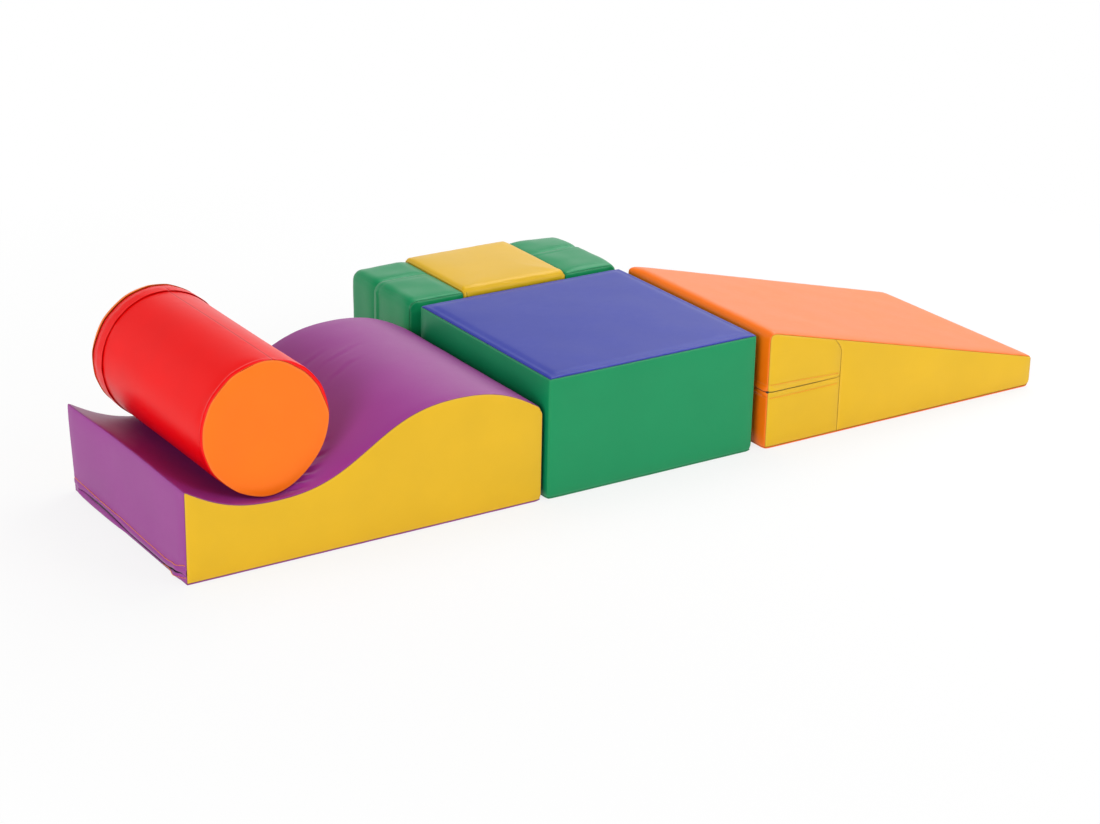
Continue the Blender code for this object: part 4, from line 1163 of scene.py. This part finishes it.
def build_arch():
    left, right = ARCH_LOW.x, ARCH_TOP.x
    front, back = ARCH_LOW.y, ARCH_TOP.y
    middle, half = (left + right) / 2, (right - left) / 2
    low, high = Vector((left, front, 0)), Vector((right, back, ARCH_HEIGHT))
    centre = Vector((middle, 0, ARCH_HEIGHT))

    def to_channel(point):
        return Vector((centre.x - point.x, 0, centre.z - point.z))

    faces = box_faces(low, high)
    faces["channel"] = round_wall(to_channel, CHANNEL_RADIUS, inward=True)
    edges = [("left", "top", 1.15 * ARCH_EDGE), ("right", "top", 1.15 * ARCH_EDGE)]
    edges += [("top", "channel", 0.006)]
    for end, roundness in (("front", 0.0055), ("back", 0.014)):
        edges += [(end, side, roundness) for side in ("left", "right", "top")]
        edges += [(end, "channel", SEAM_ROUND)]
    edges += [(side, "base", 0.005) for side in SIDES]
    soft = [("left", "top", 0.02), ("right", "top", 0.02), ("top", "channel", 0.006)]
    tucks = base_tucks(low, high) + [(high, Vector((0.004, 0.003, -0.008)), 0.10)]
    block = Block("arch", faces, edges, tucks, soft)
    channel = arc((middle, ARCH_HEIGHT), CHANNEL_RADIUS, 0, -180)
    line = Outline(
        *legs((right, BASE_LIFT), (right, ARCH_HEIGHT), channel[0]), channel,
        *legs(channel[-1], (left, ARCH_HEIGHT), (left, BASE_LIFT)),
    )
    leg_end, far_leg = line.parts[2][0][0], line.parts[2][0][-1]
    seam = front + ARCH_SEAM_AT

    def lay_between(start, end):
        """A leg's outer edge is rounded, not sewn, so that its cover is full across it."""
        lay_parts = lay_along(line, start, end)

        def lay(u, v):
            point, normal, gaps, sewn = lay_parts(u, v)
            if u < leg_end:
                gaps = (u, leg_end - u, *gaps[2:])
            elif u > far_leg:
                gaps = (u - far_leg, line.length - u, *gaps[2:])
            return point, normal, gaps, sewn
        return lay

    def outside(u):
        """One on the outer faces and the leg tops, nothing in the channel."""
        from_foot = min(u, line.length - u)
        return smooth((leg_end - from_foot - 0.003) / FLAP_TAPER) * smooth(from_foot / FLAP_TAPER)

    def full(point, gaps):
        """The slow fullness of a leg, away from its edges."""
        share = smooth(gaps[0] / 0.03) * smooth(gaps[1] / 0.03)
        share *= smooth(gaps[2] / 0.014) * smooth(gaps[3] / 0.014)
        return ARCH_FULLNESS * (0.45 + waver(point, 0.06, 2.0)) * share

    def front_relief(u, v, point, gaps):
        if point.x < left + 0.001 and point.z < ARCH_HEIGHT - ARCH_EDGE:
            zip_foot = smooth((LAP_WIDTH - seam + v) / (LAP_WIDTH - LAP_SHOULDER))
            return outside(u) * (FLAP_RISE * zip_foot + full(point, gaps))
        lap = smooth(1 - (seam - v) / LAP_WIDTH) * (1 - 0.4 * math.exp(-(seam - v) / 0.0012))
        return outside(u) * (ARCH_LAP * lap + full(point, gaps))

    def back_relief(u, v, point, gaps):
        return outside(u) * full(point, gaps)

    columns = line.places()
    rows = spread(front + SEAM_GAP, seam - SLIT_HALF / 2, marks=around(seam - LAP_WIDTH))
    rows = without_twins(rows + [place for place in around(seam) if place < seam - SLIT_HALF])
    wrap = Panel(block, lay_between(front, seam), relief=front_relief)
    sew("arch_wrap_front", wrap, "green", columns, rows)
    wrap = Panel(block, lay_between(seam, back), relief=back_relief)
    sew("arch_wrap_back", wrap, "green", columns, spread(seam + SLIT_HALF / 2, back - SEAM_GAP))

    def outer(angle):
        """How far the arch's outline is from the channel's middle, in a direction."""
        way = Vector((math.cos(angle), math.sin(angle)))
        down = (ARCH_HEIGHT - BASE_LIFT - SEAM_GAP) / max(1e-6, -way.y)
        return min(half / max(1e-6, abs(way.x)), down)

    angles = [-math.pi * index / 90 for index in range(91)]
    angles += [-step / 0.19 for step in SEAM_STEPS]
    angles += [-math.pi + step / 0.19 for step in SEAM_STEPS]
    angles += [math.atan2(-ARCH_HEIGHT, side * half) for side in (1, -1)]
    angles = sorted(set(angles))

    def flat_face(u, v):
        near = CHANNEL_RADIUS + SEAM_GAP
        reach = near + (outer(u) - near) * v
        x, z = middle + reach * math.cos(u), ARCH_HEIGHT + reach * math.sin(u)
        return x, z, reach - near, z - BASE_LIFT, x - left, right - x, ARCH_HEIGHT - z

    for side, plane, facing in front_and_back(front, back):
        face = Panel(block, on_wall(flat_face, plane, facing))
        sew(f"arch_face_{side}", face, "green", angles, shares_of(0.12))
    base_tray(block, low, high, "green")


def build_half_round():
    middle = (HALF_LOW.x + HALF_TOP.x) / 2
    front, back = HALF_LOW.y - 2 * INSET, HALF_TOP.y + 2 * INSET
    roof = ARCH_HEIGHT + HALF_RISE
    slit = roof - HALF_TURN_DOWN
    centre = Vector((middle, 0, ARCH_HEIGHT))

    def from_middle(point):
        return Vector((point.x - centre.x, 0, min(0.0, point.z - centre.z)))

    faces = box_faces(Vector((0, front, 0)), Vector((0, back, roof)))
    faces["curve"] = round_wall(from_middle, HALF_RADIUS)
    edges = [("top", "curve", 0.010), ("top", "front", 0.017), ("top", "back", 0.008)]
    edges += [("front", "curve", SEAM_ROUND), ("back", "curve", SEAM_ROUND)]
    soft = [("top", "curve", 0.012), ("top", "front", 0.018)]
    block = Block("half_round", faces, edges, soft=soft)

    def half_width(z):
        below = max(0.0, ARCH_HEIGHT - z)
        return math.sqrt(max(0.0, HALF_RADIUS ** 2 - below ** 2))

    def lay_top(u, v):
        over_x, over_y = max(0.0, abs(u) - HALF_RADIUS), max(0.0, front - v)
        z = roof - max(over_x, over_y)
        x = math.copysign(min(abs(u), HALF_RADIUS), u) * half_width(z) / HALF_RADIUS
        normal = UPWARDS
        if over_x or over_y:
            normal = Vector((math.copysign(over_x, u), -over_y, 0)).normalized()
        side_gap = HALF_RADIUS + HALF_RISE - abs(u)
        gaps = (side_gap, v - front + HALF_FRONT_DROP, back - v)
        corner = abs(u + HALF_RADIUS - HALF_CORNER_SEAM) if over_y > 0.004 else side_gap
        return Vector((middle + x, max(front, v), z)), normal, gaps, min(side_gap, corner)

    def top_relief(u, v, point, gaps):
        """The seam at the lid's near left corner, and a short crease at its front edge."""
        groove = bell(u + HALF_RADIUS - HALF_CORNER_SEAM, 0.0014)
        crease = bell(u + 0.015, 0.009) * bell(v - front - 0.004, 0.0018)
        return -0.0010 * groove * smooth((front - v - 0.002) / 0.004) - 0.0012 * crease

    turned = [HALF_RADIUS + step for step in (0.0015, 0.003, 0.0045, HALF_RISE - 0.0004)]
    marks = [step - HALF_RADIUS for step in (0.006, HALF_CORNER_SEAM, 0.008, 0.009)]
    columns = spread(-HALF_RADIUS, HALF_RADIUS, marks=marks)
    columns = without_twins(columns + turned + [-place for place in turned])
    drops = (0.0015, 0.003, 0.005, 0.0075, 0.011, 0.0145, 0.016, HALF_FRONT_DROP - 0.0003)
    rows = spread(front, back - SEAM_GAP, marks=(front + 0.0042, front + 0.006))
    rows = without_twins(rows + [front - step for step in drops])
    sew("half_round_top", Panel(block, lay_top, relief=top_relief), "yellow", columns, rows)
    curve = Outline(arc((middle, ARCH_HEIGHT), HALF_RADIUS, 180, 360))
    wrap = Panel(block, lay_along(curve, front, back), crown=0.0, swell=0.0)
    sew("half_round_wrap", wrap, "yellow", curve.places(0.008), within(front, back, 0.01))

    def flat_below(ceiling):
        def flat(u, v):
            bottom = ARCH_HEIGHT - math.sqrt(max(0.0, HALF_RADIUS ** 2 - u * u))
            top_z = max(bottom, ceiling)
            z = bottom + (top_z - bottom) * v
            return middle + u, z, HALF_RADIUS - math.hypot(u, ARCH_HEIGHT - z), top_z - z
        return flat

    for end, plane, facing, ceiling in (
        ("front", front, FRONTWARDS, roof - HALF_FRONT_DROP - 0.0003),
        ("back_lower", back, BACKWARDS, slit - SLIT_HALF),
    ):
        reach = half_width(ceiling)
        face = Panel(block, on_wall(flat_below(ceiling), plane, facing))
        sew(f"half_round_end_{end}", face, "yellow", within(-reach, reach), shares_of(0.13))

    def flat_upper(u, v):
        return middle + u * half_width(v), v, HALF_RADIUS * (1 - abs(u)), v - slit, roof - v

    def upper_relief(u, v, point, gaps):
        return flap_rise(v - slit + SLIT_HALF, gaps[0], LAP_WIDTH, LAP_SHOULDER)

    upper = Panel(block, on_wall(flat_upper, back, BACKWARDS), 0.0, upper_relief, 0.0)
    columns = [place - 1 for place in spread(0.001, 1.999, 0.05)]
    rows = spread(slit + SLIT_HALF, roof - SEAM_GAP, 0.003)
    sew("half_round_end_back_upper", upper, "yellow", columns, rows)


def stuff(names):
    """Let panels swell as cloth, held at their seams, for a few frames, and keep that form."""
    scene = bpy.context.scene
    panels = [bpy.data.objects[name] for name in names]
    settings = {
        "vertex_group_mass": "sewn", "use_pressure": True, "uniform_pressure_force": STUFFING,
        "quality": 4, "mass": 0.4, "tension_stiffness": 30.0, "compression_stiffness": 30.0,
        "bending_stiffness": 3.0,
    }
    for panel in panels:
        held = panel.vertex_groups.new(name="sewn")
        seams = panel.data.attributes["from_seam"].data
        held.add(
            [index for index, seam in enumerate(seams) if seam.value < HELD_WIDTH], 1.0, "REPLACE"
        )
        panel.modifiers["vinyl"].show_viewport = False
        cloth = panel.modifiers.new("stuffing", "CLOTH")
        panel.modifiers.move(1, 0)
        for key, value in settings.items():
            setattr(cloth.settings, key, value)
        cloth.settings.effector_weights.gravity = 0.0
        cloth.collision_settings.use_collision = False
        cloth.point_cache.frame_start = 1
        cloth.point_cache.frame_end = STUFFING_FRAMES
    for number in range(1, STUFFING_FRAMES + 1):
        scene.frame_set(number)
    depsgraph = bpy.context.evaluated_depsgraph_get()
    for panel in panels:
        swollen = panel.evaluated_get(depsgraph).data.vertices
        steps = [after.co - before.co for after, before in zip(swollen, panel.data.vertices)]
        share = min(1.0, MOST_SWELL / max(step.length for step in steps))
        for vert, step in zip(panel.data.vertices, steps):
            vert.co += step * share
        panel.modifiers.remove(panel.modifiers["stuffing"])
        panel.modifiers["vinyl"].show_viewport = True
    scene.frame_set(1)


def mesh_of_solid(node):
    """A working copy of a solid's mesh, joined up."""
    mesh = bmesh.new()
    mesh.from_mesh(bpy.data.objects[node].data)
    bmesh.ops.remove_doubles(mesh, verts=mesh.verts, dist=TWIN_GAP / 5)
    return mesh


def sagged(mesh, sag, least, cuts):
    """Cut a mesh's long edges and let its points give way."""
    long_edges = [edge for edge in mesh.edges if edge.calc_length() > least]
    bmesh.ops.subdivide_edges(mesh, edges=long_edges, cuts=cuts)
    if sag:
        for vert in mesh.verts:
            vert.co += sag(vert.co)


def build_foam(body, worn, sag=None):
    """The foam core: the solid's own form, drawn in a little, with its cut edges worn round."""
    node = f"{body}_foam"
    mesh = mesh_of_solid(node)
    bmesh.ops.dissolve_limit(
        mesh, angle_limit=math.radians(3), verts=mesh.verts, edges=mesh.edges
    )
    mesh.normal_update()
    for vert in mesh.verts:
        vert.co -= vert.normal * vert.calc_shell_factor() * FOAM_INSET
    sharp = [edge for edge in mesh.edges if edge.calc_face_angle(0.0) > math.radians(40)]
    bmesh.ops.bevel(
        mesh, geom=sharp, offset=worn, affect="EDGES", segments=3, profile=0.5, material=-1
    )
    if sag:
        sagged(mesh, sag, 0.4, 24)
    piece = add_piece(f"{node}_core", mesh, body, FOAM, [node])


def build_tape(body, sag=None):
    """A woven zip tape in its solid's place; sag moves its points to a slit that isn't level."""
    node = f"{body}_zip_tape"
    mesh = mesh_of_solid(node)
    sagged(mesh, sag, 0.02, 24 if sag else 6)
    add_piece(f"{node}_woven", mesh, body, TAPE, [node])


def wave_foam_sag(point):
    """The wave's foam gives way with its cover, and is worn off inside the folds of its ends."""
    if point.z < WAVE_MIDDLE - WAVE_SWING - 0.02:
        return Vector((0, 0, 0))
    depth = wave_gap(point)
    from_fold = max(WAVE_TOP.x - point.x, depth)
    from_lip = max(point.x - WAVE_LOW.x, depth)
    worn = Vector((-0.0040, 0, -0.0040)) * smooth(1 - (from_fold - FOAM_INSET) / 0.012)
    worn += Vector((0.0030, 0, -0.0030)) * smooth(1 - (from_lip - FOAM_INSET) / 0.012)
    low_y, high_y = WAVE_LOW.y + FOAM_INSET, WAVE_TOP.y - FOAM_INSET
    aside = Vector((0, max(low_y, min(high_y, point.y)) - point.y, 0))
    return DOWNWARDS * (under_roll(point) + max(0.0, FOAM_INSET - depth)) + worn + aside


def wave_tape_sag(point):
    """The wave's tape runs on to the side seams, and down and up behind its slit."""
    middle, half = (WAVE_LOW.y + WAVE_TOP.y) / 2, (WAVE_TOP.y - WAVE_LOW.y) / 2
    end_share = max(0.0, abs(point.y - middle) - half + 0.05) / 0.03
    y = point.y + math.copysign(0.017 * end_share, point.y - middle)
    z = point.z + wave_slit(y) - low_end_gap(y) / 2 - LOW_SLIT
    return Vector((0, y - point.y, max(0.0008, z) - point.z))


def turn_to(thing, way):
    """Point a lamp or a camera along a way."""
    thing.rotation_mode = "QUATERNION"
    thing.rotation_quaternion = Vector(way).to_track_quat("-Z", "Y")


def place_lights():
    for name, place, target, size, power in (
        ("right_softbox", (2.2, -3.4, 2.4), (0.0, 0.0, 0.1), 2.4, 47.0),
        ("top_softbox", (2.4, 1.2, 3.4), (-0.2, 0.0, 0.0), 3.0, 104.0),
        ("key_softbox", (-9.0, -6.9, 3.5), (-0.3, 0.0, 0.1), 4.2, 690.0),
    ):
        data = bpy.data.lights.new(name, "AREA")
        data.shape = "SQUARE"
        data.size = size
        data.energy = power
        lamp = put(name, data)
        lamp.location = place
        turn_to(lamp, Vector(target) - Vector(place))


def seen_straight(finish):
    """One where the camera, a reflection or a clear material looks, nothing for diffuse light."""
    seen = finish.node("LightPath", output="Is Camera Ray")
    for way in ("Is Glossy Ray", "Is Transmission Ray"):
        seen = seen + finish.node("LightPath", output=way)
    return seen.clamped()


def light_world():
    """White all round, as the studio shows it.

    In reflections the camera's side is dim, and so is what lies above the white walls.
    """
    world = bpy.data.worlds.new("white_studio")
    world.use_nodes = True
    finish = Finish(world.node_tree)
    way = finish.node("TexCoord", output="Generated")

    def along(direction):
        settings = {"operation": "DOT_PRODUCT"}
        return finish.node("VectorMath", {0: way, 1: direction}, settings, "Value")

    camera_side = ((along([-part for part in VIEW]) - 0.1) / 0.6).clamped()
    above = ((along((0, 0, 1)) - 0.36) / 0.2).clamped()
    dim = (0.75 * camera_side + 0.85 * above).clamped()
    gloss = finish.node("LightPath", output="Is Glossy Ray")
    seen = DIFFUSE_SKY + (1 - DIFFUSE_SKY) * seen_straight(finish)
    strength = seen + (0.3 - 1.15 * dim) * gloss
    light = finish.node("Background", {"Color": (1, 1, 1, 1), "Strength": strength})
    finish.node("OutputWorld", {"Surface": light})
    bpy.context.scene.world = world


def lay_floor():
    mesh = bmesh.new()
    bmesh.ops.create_grid(mesh, x_segments=8, y_segments=8, size=12)
    data = new_mesh("studio_floor", mesh)
    floor = put("studio_floor", data)
    floor.location = (0, 0, -0.0005)
    material, finish, place = new_material("white_floor")
    paint = finish.node("BsdfPrincipled", {"Base Color": (0.9, 0.9, 0.9, 1), "Roughness": 0.9})
    glow = finish.node("Emission", {"Color": (1, 1, 1, 1), "Strength": 1.0})
    far = finish.node("VectorMath", {0: place}, {"operation": "LENGTH"}, "Value")
    shown = (0.8 + 0.2 * ((far - 0.9) / 1.2).clamped()) * seen_straight(finish)
    surface = finish.node("MixShader", {0: shown, 1: paint, 2: glow})
    finish.node("OutputMaterial", {"Surface": surface})
    data.materials.append(material)


def place_camera():
    """The camera where the photograph's was, with its right side tipped up a little."""
    data = bpy.data.cameras.new("photo_camera")
    data.lens = 82.47
    data.sensor_width = 36.0
    data.sensor_fit = "HORIZONTAL"
    data.shift_x = -0.0016
    data.shift_y = 0.0011
    data.clip_end = 60.0
    camera = put("photo_camera", data)
    camera.location = (-2.7222, -3.9842, 1.9529)
    turn_to(camera, VIEW)
    camera.rotation_quaternion @= Quaternion((0, 0, 1), math.radians(1.245))
    bpy.context.scene.camera = camera


bpy.context.scene.view_settings.view_transform = "Standard"
place_camera()
light_world()
place_lights()
lay_floor()
build_cube()
build_wave()
build_roll()
build_ramp()
build_arch()
build_half_round()
for block_name, worn in (
    ("cube", 0.005), ("wave", 0.004), ("roll", 0.004), ("ramp", 0.012), ("arch", 0.012),
    ("half_round", 0.010),
):
    foam_sag, tape_sag = None, None
    if block_name == "wave":
        foam_sag, tape_sag = wave_foam_sag, wave_tape_sag
    build_foam(block_name, worn, foam_sag)
    build_tape(block_name, tape_sag)
    bpy.data.objects[f"{block_name}_zip_chain"].material_slots[0].material = COIL
    bpy.data.objects[f"{block_name}_zip_slider"].material_slots[0].material = ZINC

stuff(STUFFED)
